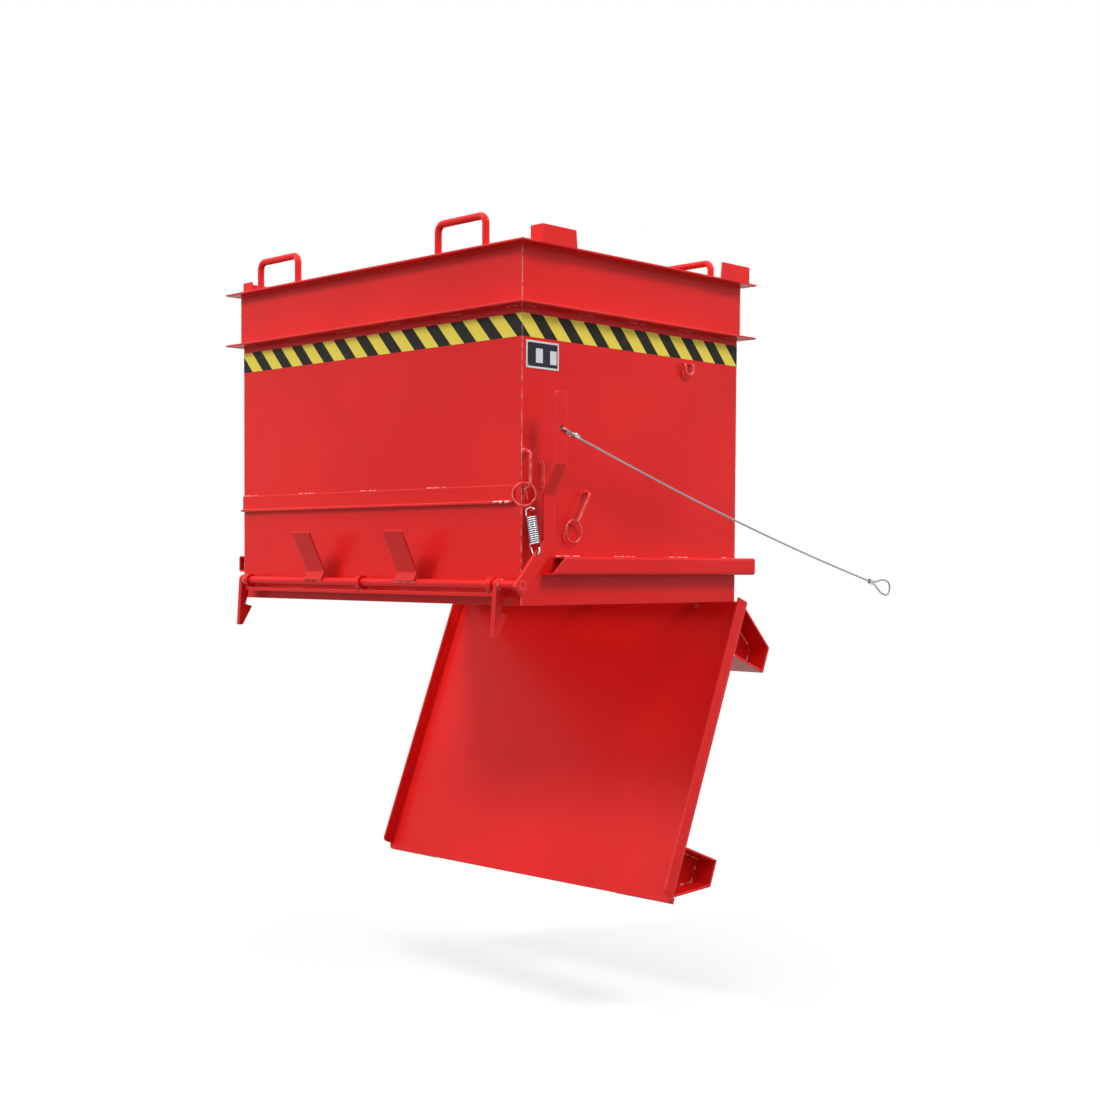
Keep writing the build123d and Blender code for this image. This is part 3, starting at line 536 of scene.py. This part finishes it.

# %% [markdown]
# Light hardly reaches the grooves between coils, so their shade is painted into the colour.
# The finish finds a groove by its distance from the spring's axis; loop and hook stay bright.
# The spring runs between the box and the latch; the real one stretches when the lever is pulled, this
# one keeps its pose.

# %% Spring finish
GROOVE_DEEP = 0.0131
GROOVE_EDGE = 0.0138
SPRING_BRIGHT = picked(226, 239, 248)
SPRING_DULL = picked(176, 196, 210)
SPRING_GROOVE_SHADE = picked(24, 34, 44)


def spring_finish():
    metal = Finish("spring_zinc")
    from_top = metal.vector("SUBTRACT", metal.place, coil_top)
    off_axis = metal.vector("CROSS_PRODUCT", from_top, spring_down)
    radius = metal.vector("LENGTH", off_axis, Vector()).output("Value")
    down = metal.vector("DOT_PRODUCT", from_top, spring_down).output("Value")
    on_coils = (down > 0.0) * (down < coil_length)
    # Painted shade in the grooves between coils.
    groove_shade = (1.0 - radius.step(GROOVE_DEEP, GROOVE_EDGE)) * on_coils
    grime = metal.noise(240.0)
    colour = metal.mix(SPRING_BRIGHT, SPRING_DULL, grime.step(0.4, 0.7))
    colour = metal.mix(colour, SPRING_GROOVE_SHADE, groove_shade)
    relief = metal.bump(grime, 0.00005)
    roughness = 0.2 + grime * 0.14
    return metal.surface(Base_Color=colour, Metallic=METALLIC, Roughness=roughness, Normal=relief)


spring_vertices, spring_faces = [], []
spring_radii = [SPRING_WIRE / 2] * len(spring_line)
add_tube(spring_line, spring_radii, SPRING_SIDES, spring_vertices, spring_faces)
spring = mesh_piece("return_spring_wire", spring_vertices, spring_faces, spring_finish())
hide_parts("return_spring")
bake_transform(spring)
print(f"spring of {SPRING_TURNS} turns, {len(spring_faces)} faces")

# %% [markdown]
# Everything else on the box wears red enamel, sprayed on after welding.
# A sprayed coat has a fine orange-peel skin, clouds slightly, and lies thin on sharp edges.
# The Bevel node finds those edges: where its rounded normal leaves the flat one, they are painted
# pale, partly for thin paint and partly as a painted highlight.
# That also rounds each edge for the light, without a change to the solids.

# %% Red enamel
ENAMEL = picked(215, 24, 22)
ENAMEL_DEEP = picked(207, 19, 18)
# The pale pink below is a painted highlight; on sheet edges it also stands for thin paint.
ENAMEL_HIGHLIGHT = picked(250, 172, 168)
EDGE_ROUND = 0.0034
EDGE_HIGHLIGHT = 0.2
EDGE_SAMPLES = 8
SHEET_GLOSS = 0.04


def sprayed(paint, highlight_share, highlight_colour, normal, gloss):
    """End a finish in red enamel, paler and smoother by the share of painted highlight, which on
    sheet edges is also thin paint.
    """
    clouds = paint.noise(1.7, detail=3.0)
    mottle = paint.noise(46.0)
    peel = paint.noise(380.0, detail=2.0)
    colour = paint.mix(ENAMEL_DEEP, ENAMEL, clouds.step(0.34, 0.6))
    colour = paint.mix(colour, highlight_colour, highlight_share * (0.7 + mottle * 0.5))
    relief = paint.bump(peel * 0.75 + mottle * 0.25, 0.00012, Strength=0.5, **normal)
    return paint.surface(
        Base_Color=colour, Roughness=0.36 + mottle * 0.1 - highlight_share * 0.12, Normal=relief,
        Specular_IOR_Level=0.16, Coat_Weight=gloss + clouds * 0.06, Coat_Roughness=0.14,
    )


def sheet_enamel():
    paint = Finish("red_enamel")
    flat = paint.node("ShaderNodeNewGeometry").output("Normal")
    rounded = paint.node("ShaderNodeBevel", {"samples": EDGE_SAMPLES}, {"Radius": EDGE_ROUND})
    agreement = paint.vector("DOT_PRODUCT", flat, rounded).output("Value")
    # Edges are painted pale: partly thin paint, partly a painted highlight.
    highlight_share = (1.0 - agreement).step(0.01, 0.2) * EDGE_HIGHLIGHT
    return sprayed(paint, highlight_share, ENAMEL_HIGHLIGHT, {"Normal": rounded}, SHEET_GLOSS)


bright = {"return_spring", "pull_rope", "rope_loop", "hand_loop", "rope_clamp", "hand_ferrule"}
bright |= {"name_plate", "plate_rivets"}
painted = sorted(set(nodes) - bright)
coat(sheet_enamel(), *painted)
print(f"{len(painted)} solids painted red")

# %% [markdown]
# Thin round bars catch more light than sheet, as their roundness throws light about.
# They get a glossier mix of the same enamel with pale patches of painted highlight,
# without the edge search: they have no edges.

# %% Enamel on round bars
BAR_HIGHLIGHT = 0.3
BAR_GLOSS = 0.5
ROUND_BARS = [
    "safety_rod_front", "safety_rod_rear", "rod_split_pin", "pull_ring_front", "pull_ring_rear",
    "rope_eye", "lever_guide",
]


def bar_enamel():
    paint = Finish("bar_enamel")
    # Random patches of painted highlight make the bars paler.
    highlight_share = paint.noise(90.0).step(0.3, 0.7) * BAR_HIGHLIGHT
    return sprayed(paint, highlight_share, ENAMEL_HIGHLIGHT, {}, BAR_GLOSS)


coat(bar_enamel(), *ROUND_BARS)
print(f"{len(ROUND_BARS)} bars painted thinly")

# %% [markdown]
# Yellow and black warning tape runs round the box under its rim, without a break at the corners.
# It is one thin ring with a UV map in metres, counted along the walls from the corner by the lever.
# The stripes are arithmetic on that map: a slanted ruler, cut off at each pair of stripes.

# %% Tape finish
STRIPE_PAIR = 0.102
STRIPE_YELLOW = 0.515
STRIPE_LEAN = 0.93
STRIPE_START = 0.30
TAPE_YELLOW = picked(224, 205, 78)
TAPE_BLACK = picked(24, 22, 22)
TAPE_DUST = picked(168, 150, 116)


def tape_finish():
    tape = Finish("warning_tape")
    place = tape.node("ShaderNodeUVMap", {"uv_map": "tape"})
    ruler = (tape.axis(place, "X") + tape.axis(place, "Y") * STRIPE_LEAN) / STRIPE_PAIR
    yellow = (ruler - STRIPE_START).fraction() < STRIPE_YELLOW
    beads = tape.node("ShaderNodeTexVoronoi", None, {"Vector": tape.place, "Scale": 700.0})
    dust = tape.noise(22.0)
    colour = tape.mix(TAPE_BLACK, TAPE_YELLOW, yellow)
    colour = tape.mix(colour, TAPE_DUST, beads.step(0.3, 0.9) * 0.04 + dust.step(0.5, 0.8) * 0.06)
    relief = tape.bump(beads, 0.00006, Strength=0.6)
    return tape.surface(
        Base_Color=colour, Roughness=0.42 + dust * 0.15, Normal=relief, Specular_IOR_Level=0.12)


tape_material = tape_finish()
print(f"stripes in pairs of {STRIPE_PAIR / MM:.0f} mm")

# %% [markdown]
# The ring has four mitred corners, so each wall's strip meets the next without a step.
# Its map is set face by face, because the last corner is both the end and the start of the count.

# %% Tape ring
TAPE_LOW = spot(0, 0, 702.4).z
TAPE_HIGH = spot(0, 0, 762.7).z
TAPE_THICKNESS = 0.0004


def tape_ring():
    """Vertices, faces and map of a ring with four points at each corner, outside first."""
    lengths = [2 * half_x, 2 * half_y, 2 * half_x, 2 * half_y]
    vertices = []
    for x, y in CORNERS:
        for proud, z in ((1, TAPE_LOW), (1, TAPE_HIGH), (0, TAPE_HIGH), (0, TAPE_LOW)):
            lift = proud * TAPE_THICKNESS
            vertices.append((x * (half_x + lift), y * (half_y + lift), z))
    faces, marks = [], []
    count = -lengths[0]
    for wall, length in enumerate(lengths):
        here, there = wall * 4, (wall + 1) % 4 * 4
        for edge in range(4):
            after = (edge + 1) % 4
            faces.append((here + edge, there + edge, there + after, here + after))
            levels = [0.0 if point in (0, 3) else TAPE_HIGH - TAPE_LOW for point in (edge, after)]
            marks += [(count, levels[0]), (count + length, levels[0])]
            marks += [(count + length, levels[1]), (count, levels[1])]
        count += length
    return vertices, faces, marks


ring_vertices, ring_faces, ring_marks = tape_ring()
tape = mesh_piece("warning_tape_ring", ring_vertices, ring_faces, tape_material, smooth=False)
tape_map = tape.data.uv_layers.new(name="tape")
for loop, mark in zip(tape_map.data, ring_marks):
    loop.uv = mark
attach(tape, "container")
print(f"tape ring {(TAPE_HIGH - TAPE_LOW) / MM:.0f} mm wide on {len(ring_faces) // 4} walls")

# %% [markdown]
# The name plate is dark aluminium with a bare border and two bare fields to stamp figures in.
# It stays blank here. Its fields are found by comparing Object coordinates with the plate's box.
# A field is its middle and half its width across the plate, then the same upwards, as shares.

# %% Name plate
PLATE_DARK = picked(34, 35, 46)
PLATE_BARE = picked(212, 213, 216)
PLATE_SMEAR = picked(120, 116, 118)
PLATE_INSIDE = (0.46, 0.43)
PLATE_FIELDS = [(0.40, 0.105, 0.47, 0.26), (0.83, 0.10, 0.445, 0.25)]


def plate_finish():
    plate = Finish("blank_name_plate")
    low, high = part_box("name_plate")
    across = (plate.axis(plate.place, "Y") - low.y) / (high.y - low.y)
    up = (plate.axis(plate.place, "Z") - low.z) / (high.z - low.z)
    bare = 1.0 - (across.off(0.5) < PLATE_INSIDE[0]) * (up.off(0.5) < PLATE_INSIDE[1])
    for middle, half_width, level, half_height in PLATE_FIELDS:
        bare = bare + (across.off(middle) < half_width) * (up.off(level) < half_height)
    bare = bare > 0.5
    brushed = plate.noise(700.0, detail=2.0)
    smear = plate.noise(60.0)
    colour = plate.mix(PLATE_DARK, PLATE_BARE, bare * (0.84 + brushed * 0.16))
    colour = plate.mix(colour, PLATE_SMEAR, smear.step(0.55, 0.8) * 0.2)
    relief = plate.bump(brushed - bare * 0.5, 0.00008)
    return plate.surface(
        Base_Color=colour, Metallic=bare * 0.3, Roughness=0.34 + smear * 0.2, Normal=relief,
        Specular_IOR_Level=0.15,
    )


coat(plate_finish(), "name_plate")
print("name plate left blank")

# %% [markdown]
# The box is sheet steel, tacked together with short runs of weld, their glints of light painted on.
# A bead is a row of overlapping ripples, one for each drop of metal that froze.
# Geometry Nodes suit that: the tree takes any seam as a path and strings flattened beads along it.
# Each seam carries its bead size and its shine, the strength of its painted glint, as attributes,
# so one tree serves every body.

# %% Weld tree
WELD_SEED = 7
RIPPLE_SEGMENTS = 8
RIPPLE_RINGS = 4
weld_group = bpy.data.node_groups.new("weld_beads", "GeometryNodeTree")
weld_tree = Tree(weld_group)
weld_sockets = {}
for label, kind, way in (
    ("Seams", "NodeSocketGeometry", "INPUT"),
    ("Ripple Pitch", "NodeSocketFloat", "INPUT"),
    ("Flatness", "NodeSocketFloat", "INPUT"),
    ("Unevenness", "NodeSocketFloat", "INPUT"),
    ("Finish", "NodeSocketMaterial", "INPUT"),
    ("Beads", "NodeSocketGeometry", "OUTPUT"),
):
    socket = weld_group.interface.new_socket(label, in_out=way, socket_type=kind)
    weld_sockets[label] = socket.identifier

given = weld_tree.node("NodeGroupInput")
path = weld_tree.node("GeometryNodeMeshToCurve", None, {"Mesh": given.output("Seams")})
pitch = given.output("Ripple Pitch")
spacing = {"Curve": path, "Length": pitch}
points = weld_tree.node("GeometryNodeCurveToPoints", {"mode": "LENGTH"}, spacing)
number = {"data_type": "FLOAT"}
bead_size = weld_tree.node("GeometryNodeInputNamedAttribute", number, {"Name": "bead"})
uneven = weld_tree.node("FunctionNodeRandomValue", number, {"Seed": WELD_SEED})
random_size = Value(weld_tree, uneven.socket.node.outputs[1])
width = bead_size * (1.0 + (random_size - 0.5) * given.output("Unevenness"))
sizes = {"X": width, "Y": width, "Z": width * given.output("Flatness")}
scale = weld_tree.node("ShaderNodeCombineXYZ", None, sizes)
ripple_shape = {"Segments": RIPPLE_SEGMENTS, "Rings": RIPPLE_RINGS, "Radius": 1.0}
ripple = weld_tree.node("GeometryNodeMeshUVSphere", None, ripple_shape)
strung = weld_tree.node("GeometryNodeInstanceOnPoints", None, {
    "Points": points, "Instance": ripple, "Rotation": points.output("Rotation"), "Scale": scale})
solid = weld_tree.node("GeometryNodeRealizeInstances", None, {"Geometry": strung})
smooth_beads = weld_tree.node("GeometryNodeSetShadeSmooth", None, {"Geometry": solid})
material_inputs = {"Geometry": smooth_beads, "Material": given.output("Finish")}
painted_beads = weld_tree.node("GeometryNodeSetMaterial", None, material_inputs)
weld_tree.node("NodeGroupOutput", None, {"Beads": painted_beads})
print(f"weld tree of {len(weld_group.nodes)} nodes")

# %% [markdown]
# A seam is a short run of points, and seams are kept in a list for the body that they ride on.
# Stitches are seams between marks on one straight line; rings go round a bar where it meets a plate.
# A bead is a pair of numbers: its size in millimetres and its shine from 0 to 1, the strength of its
# painted glint.

# %% Seam helpers
RIPPLE_PITCH = 0.003
RING_STEPS = 20
seams = {"container": [], "latch": [], "flap": []}


def seam(body, bead, *run):
    """Keep a run of points as a seam with a bead."""
    size, shine = bead
    seams[body].append((size * MM, shine, [Vector(point) for point in run]))


def stitches(body, bead, start, end, marks):
    """Seams between pairs of marks, in metres along the line from start to end."""
    way = (end - start).normalized()
    for first, last in marks:
        seam(body, bead, start + way * first, start + way * last)


def ring_seam(body, bead, centre, axis, radius):
    """Seam round a bar of a radius in millimetres."""
    side = axis.orthogonal().normalized()
    other = axis.normalized().cross(side)
    turns = [2 * math.pi * number / RING_STEPS for number in range(RING_STEPS + 1)]
    run = [centre + (side * math.cos(t) + other * math.sin(t)) * radius * MM for t in turns]
    seam(body, bead, *run)


def spread(length, count, run):
    """Marks of evenly spread runs on a length, the first and last at its ends."""
    gap = (length - run) / (count - 1)
    return [(gap * number, gap * number + run) for number in range(count)]


print(f"one ripple every {RIPPLE_PITCH / MM:.0f} mm")

# %% [markdown]
# The photograph shows the stitches on the front ledge and the rail under the lever: those follow it.
# The four upright corners are welded all the way down; a painted glint makes a dotted pale line
# there.

# %% Wall seams
LEDGE_MARKS = [(0.0, 0.070), (0.288, 0.362), (0.579, 0.647), (0.872, 0.942)]
LIP_MARKS = [(1.145, 1.213)]
RAIL_MARKS = [(0.130, 0.220), (0.365, 0.444), (0.596, 0.681), (0.825, 0.898)]
CORNER_START = 0.003
LIP_RISE = 0.004
SILL_SPREAD = (7, 0.07)
LEDGE_BEAD = (4.0, 0.3)
LIP_BEAD = (3.4, 1.0)
RAIL_BEAD = (3.0, 0.5)
CORNER_BEAD = (1.1, 0.85)
SILL_BEAD = (3.0, 0.05)
ledge_low, ledge_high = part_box("front_ledge")
rail_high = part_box("side_rail_right")[1]
rim_low, rim_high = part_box("rim_front")
sill_low, sill_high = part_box("front_sill")
backwards = Vector((0, 1, 0))
upwards = Vector((0, 0, 1))

ledge_left = Vector((-half_x, -half_y, ledge_high.z))
stitches("container", LEDGE_BEAD, ledge_left, ledge_left + sideways, LEDGE_MARKS)
# The lip's short bead is painted nearly white: a painted glint.
lip_left = Vector((-half_x, ledge_low.y, ledge_low.z + LIP_RISE))
stitches("container", LIP_BEAD, lip_left, lip_left + sideways, LIP_MARKS)
for side in (-1, 1):
    rail_front = Vector((side * half_x, -half_y, rail_high.z))
    stitches("container", RAIL_BEAD, rail_front, rail_front + backwards, RAIL_MARKS)
    for end in (-1, 1):
        foot = Vector((side * half_x, end * half_y, wall_foot + CORNER_START))
        seam("container", CORNER_BEAD, foot, foot + upwards * (rim_low.z - foot.z))
sill_left = Vector((sill_low.x, -half_y, sill_high.z))
sill_marks = spread(sill_high.x - sill_low.x, *SILL_SPREAD)
stitches("container", SILL_BEAD, sill_left, sill_left + sideways, sill_marks)
print(f"{len(seams['container'])} seams on the walls")

# %% [markdown]
# The rim's four channels are mitred and welded at the corners, and stitched to the walls from below.
# Bows get a bead round their feet, and bearings a bead on each side.

# %% Rim and fittings
RIM_WEB = 0.006
RIM_REACH = 0.040
RIM_FLANGE = 0.005
BOW_RADIUS = 10
BEARING_FOOT = 0.020
FRONT_SPREAD = (6, 0.06)
SIDE_SPREAD = (5, 0.06)
MITRE_BEAD = (1.8, 0.5)
FLANGE_BEAD = (1.3, 0.4)
UNDER_BEAD = (3.0, 0.2)
BOW_BEAD = (3.2, 0.4)
BEARING_BEAD = (3.0, 0.2)
for side in (-1, 1):
    for end in (-1, 1):
        web = Vector((side * (half_x + RIM_WEB), end * (half_y + RIM_WEB), rim_low.z + RIM_FLANGE))
        seam("container", MITRE_BEAD, web, web + upwards * (rim_high.z - rim_low.z - 2 * RIM_FLANGE))
        out = Vector((side * RIM_REACH, end * RIM_REACH, 0))
        for level in (rim_low.z, rim_high.z):
            corner = Vector((side * half_x, end * half_y, level))
            seam("container", FLANGE_BEAD, corner, corner + out)
for end in (-1, 1):
    under = Vector((-half_x, end * half_y, rim_low.z))
    stitches("container", UNDER_BEAD, under, under + sideways, spread(2 * half_x, *FRONT_SPREAD))
for side in (-1, 1):
    under = Vector((side * half_x, -half_y, rim_low.z))
    stitches("container", UNDER_BEAD, under, under + backwards, spread(2 * half_y, *SIDE_SPREAD))

for name in ("front_left", "front_right", "rear_left", "rear_right"):
    bow_low, bow_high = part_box(f"lifting_bow_{name}")
    for x in (bow_low.x + BOW_RADIUS * MM, bow_high.x - BOW_RADIUS * MM):
        foot = Vector((x, (bow_low.y + bow_high.y) / 2, bow_low.z))
        ring_seam("container", BOW_BEAD, foot, upwards, BOW_RADIUS)
for name in ("left", "middle", "right"):
    bearing_low, bearing_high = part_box(f"shaft_bearing_{name}")
    for x in (bearing_low.x, bearing_high.x):
        foot = Vector((x, sill_low.y, sill_high.z))
        seam("container", BEARING_BEAD, foot, foot + backwards * BEARING_FOOT)
print(f"{len(seams['container'])} seams on the container so far")

# %% [markdown]
# Small bars on the right wall are welded straight to the sheet.
# The list gives each foot's place along the wall, its height, its bar's radius and the bead's size.

# %% Bars on the right wall
RIGHT_WALL = 620
BAR_SHINE = 0.5
BAR_FEET = [
    (195, 687, 4, 2.0),
    (229.5, 687, 4, 2.0),
    (-378, 307, 3, 1.8),
    (-378, 377, 3, 1.8),
    (-431, 250, 4, 2.2),
    (-442, 402.5, 8, 2.0),
    (-215, 301, 8, 2.0),
]
for y, level, radius, size in BAR_FEET:
    ring_seam("container", (size, BAR_SHINE), spot(RIGHT_WALL, y, level), sideways, radius)
print(f"{len(seams['container'])} seams on the container")

# %% [markdown]
# On the latch, the hooks, paddles and lever are welded round the shaft.
# The ring on the lever's outer face is where the shaft's end shows.

# %% Latch seams
SHAFT_RADIUS = 12.5
STUB_ROOM = 0.003
SHAFT_END_INSET = 1.5
HOOK_BEAD = (3.0, 0.6)
PADDLE_BEAD = (3.0, 0.3)
SHAFT_END_BEAD = (1.3, 0.35)
LEVER_BEAD = (3.0, 0.5)
PADDLE_FOOT = spot(0, -494.8, 57.7)
shaft_low, shaft_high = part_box("latch_shaft")
lever_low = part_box("release_lever")[0]
shaft_line = (shaft_low + shaft_high) / 2


def on_shaft(x):
    return Vector((x, shaft_line.y, shaft_line.z))


for name in ("left", "right"):
    hook_low, hook_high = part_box(f"latch_hook_{name}")
    for x in (hook_low.x, hook_high.x):
        if x > shaft_low.x + STUB_ROOM:
            ring_seam("latch", HOOK_BEAD, on_shaft(x), sideways, SHAFT_RADIUS)
    paddle_low, paddle_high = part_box(f"paddle_{name}")
    foot = Vector((paddle_low.x, PADDLE_FOOT.y, PADDLE_FOOT.z))
    seam("latch", PADDLE_BEAD, foot, foot + sideways * (paddle_high.x - paddle_low.x))
end_radius = SHAFT_RADIUS - SHAFT_END_INSET
ring_seam("latch", SHAFT_END_BEAD, on_shaft(shaft_high.x), sideways, end_radius)
ring_seam("latch", LEVER_BEAD, on_shaft(lever_low.x), sideways, SHAFT_RADIUS)
print(f"{len(seams['latch'])} seams on the latch")

# %% [markdown]
# The flap hangs at its own slope, so its seams are given along it, from the free edge to the hinge.
# Its skids are stitched to the plate, and their end plates are welded in from outside.

# %% Flap seams
FLAP_SLOPE = math.radians(68.45)
FLAP_EDGE = (-0.9418, -0.0192)
FLAP_HALF = 0.631
END_PLATE_INSET = 0.070
SKID_STARTS = [(0.018, 1), (0.9128, -1)]
SKID_FOOT = 0.152
SKID_SPREAD = (8, 0.07)
SKID_BEAD = (3.5, 0.5)
END_PLATE_BEAD = (3.0, 0.6)
SKID_SECTION = [(0.0066, 0.0), (0.0739, -0.149), (0.146, -0.149), (0.146, 0.0)]
hinge = spot(0, 486.8, 12.2)
flap_along = Vector((0, math.cos(FLAP_SLOPE), math.sin(FLAP_SLOPE)))
flap_up = Vector((0, -math.sin(FLAP_SLOPE), math.cos(FLAP_SLOPE)))
flap_edge = hinge + flap_along * FLAP_EDGE[0] + flap_up * FLAP_EDGE[1]


def flap_spot(x, along, rise):
    """A point on the open flap, in metres along it and above its underside."""
    return flap_edge + sideways * x + flap_along * along + flap_up * rise


for start, way in SKID_STARTS:
    upright = flap_spot(-FLAP_HALF, start + way * SKID_FOOT, 0)
    stitches("flap", SKID_BEAD, upright, upright + sideways, spread(2 * FLAP_HALF, *SKID_SPREAD))
    for x in (END_PLATE_INSET - FLAP_HALF, FLAP_HALF - END_PLATE_INSET):
        run = [flap_spot(x, start + way * reach, rise) for reach, rise in SKID_SECTION]
        seam("flap", END_PLATE_BEAD, *run)
print(f"{len(seams['flap'])} seams on the flap")

# %% [markdown]
# Now the tree runs once for each body: its seams become a small mesh of edges, and beads come back.
# The modifier's inputs are set by their sockets' identifiers before Blender looks at the object.

# %% String the beads
# Near-white colour of the painted glints on the beads.
WELD_GLINT = picked(252, 232, 226)
BEAD_FLATNESS = 0.62
BEAD_UNEVENNESS = 0.3
BEAD_GLOSS = 0.1


def weld_piece(body, material):
    """All beads of one body as a plain mesh."""
    vertices, edges, widths, shines = [], [], [], []
    for size, shine, run in seams[body]:
        first = len(vertices)
        vertices += run
        edges += [(first + i, first + i + 1) for i in range(len(run) - 1)]
        widths += [size] * len(run)
        shines += [shine] * len(run)
    mesh = bpy.data.meshes.new(f"seams_{body}")
    mesh.from_pydata(vertices, edges, [])
    for name, values in (("bead", widths), ("shine", shines)):
        mesh.attributes.new(name, "FLOAT", "POINT").data.foreach_set("value", values)
    carrier = bpy.data.objects.new(f"seams_{body}", mesh)
    bpy.context.scene.collection.objects.link(carrier)
    modifier = carrier.modifiers.new("weld_beads", "NODES")
    modifier.node_group = weld_group
    settings = {"Ripple Pitch": RIPPLE_PITCH, "Flatness": BEAD_FLATNESS}
    settings |= {"Unevenness": BEAD_UNEVENNESS, "Finish": material}
    for label, value in settings.items():
        modifier[weld_sockets[label]] = value
    graph = bpy.context.evaluated_depsgraph_get()
    beads = bpy.data.meshes.new_from_object(carrier.evaluated_get(graph))
    bpy.data.objects.remove(carrier)
    piece = bpy.data.objects.new(f"weld_beads_{body}", beads)
    bpy.context.scene.collection.objects.link(piece)
    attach(piece, body)
    return piece


def bead_enamel():
    """Enamel with a painted glint on the ripples, strongest where a seam's shine is high."""
    paint = Finish("weld_enamel")
    shine = paint.node("ShaderNodeAttribute", {"attribute_name": "shine"}).output("Fac")
    # The glint is painted in patches along each seam.
    highlight_share = shine * paint.noise(60.0).step(0.42, 0.56)
    return sprayed(paint, highlight_share, WELD_GLINT, {}, BEAD_GLOSS)


weld_enamel = bead_enamel()
for body in seams:
    welds = weld_piece(body, weld_enamel)
    welds.data.calc_loop_triangles()
    print(f"{welds.name}: {len(seams[body])} seams, {len(welds.data.loop_triangles)} triangles")

# %% [markdown]
# A pale floor well below the hanging box keeps a soft shadow; further out it turns plain white.
# As a source of bounced light it is darker, because the photograph shows little light from below.
# The world is white to the camera and in reflections, and weaker as light: the lamps shape the box.

# %% Floor and world
FLOOR_DROP = 0.35
FLOOR_HALF = 30.0
FLOOR_PALE = picked(232, 232, 232)
FLOOR_GRAIN = picked(226, 226, 226)
FLOOR_BOUNCE = picked(112, 112, 112)
FLOOR_WHITE_SHARE = 0.5
FLOOR_FADE = (2.5, 5.5)
WORLD_FILL = 0.9
WHITE = (1, 1, 1, 1)


def straight_rays(tree):
    """1 for rays that show the background: to the camera, in reflections and through glass."""
    rays = tree.node("ShaderNodeLightPath")
    shown = rays + rays.output("Is Glossy Ray") + rays.output("Is Transmission Ray")
    return shown > 0.5


def floor_finish():
    paper = Finish("studio_floor")
    shown = straight_rays(paper)
    colour = paper.mix(FLOOR_PALE, FLOOR_GRAIN, paper.noise(40.0))
    colour = paper.mix(FLOOR_BOUNCE, colour, shown)
    matt = paper.node("ShaderNodeBsdfDiffuse", None, {"Color": colour})
    white = paper.node("ShaderNodeEmission", None, {"Color": WHITE, "Strength": 1.0})
    far = paper.vector("LENGTH", paper.place, Vector()).output("Value").step(*FLOOR_FADE)
    share = shown * (FLOOR_WHITE_SHARE + far * (1 - FLOOR_WHITE_SHARE))
    shader = paper.node("ShaderNodeMixShader", None, {0: share, 1: matt, 2: white})
    paper.node("ShaderNodeOutputMaterial", None, {"Surface": shader})
    return paper.material


ground = cad_low.z - FLOOR_DROP
floor_points = [(x * FLOOR_HALF, y * FLOOR_HALF, ground) for x, y in CORNERS]
floor = mesh_piece("floor", floor_points, [(0, 1, 2, 3)], floor_finish(), smooth=False)

world = bpy.data.worlds.new("studio")
world.use_nodes = True
bpy.context.scene.world = world
sky = Tree(world.node_tree)
strength = WORLD_FILL + straight_rays(sky) * (1 - WORLD_FILL)
backdrop = sky.node("ShaderNodeBackground", None, {"Color": WHITE, "Strength": strength})
sky.node("ShaderNodeOutputWorld", None, {"Surface": backdrop})
print(f"floor {FLOOR_DROP} m below the lowest edge")

# %% [markdown]
# Three soft lamps shape the box: one from the front left, one from the right and one from above.
# Area lamps give soft shadows, softer the larger they are.
# Their powers were fitted to the brightness of the walls in the photograph.

# %% Lamps
BOX_MIDDLE = spot(0, 0, 450)


def lamp(name, place, power, size):
    """A square lamp, its power in watts and its size in metres, that faces the middle of the box."""
    data = bpy.data.lights.new(name, "AREA")
    data.energy = power
    data.size = size
    made = bpy.data.objects.new(name, data)
    made.location = place
    made.rotation_euler = (BOX_MIDDLE - Vector(place)).to_track_quat("-Z", "Y").to_euler()
    bpy.context.scene.collection.objects.link(made)


lamp("front_left_lamp", (-2.8, -6.4, 4.2), 335, 1.8)
lamp("right_lamp", (5.7, 1.2, 4.8), 320, 2.0)
lamp("top_lamp", (0.4, -1.2, 5.5), 190, 4.0)
bpy.context.scene.view_settings.view_transform = "Standard"
print("three lamps set")
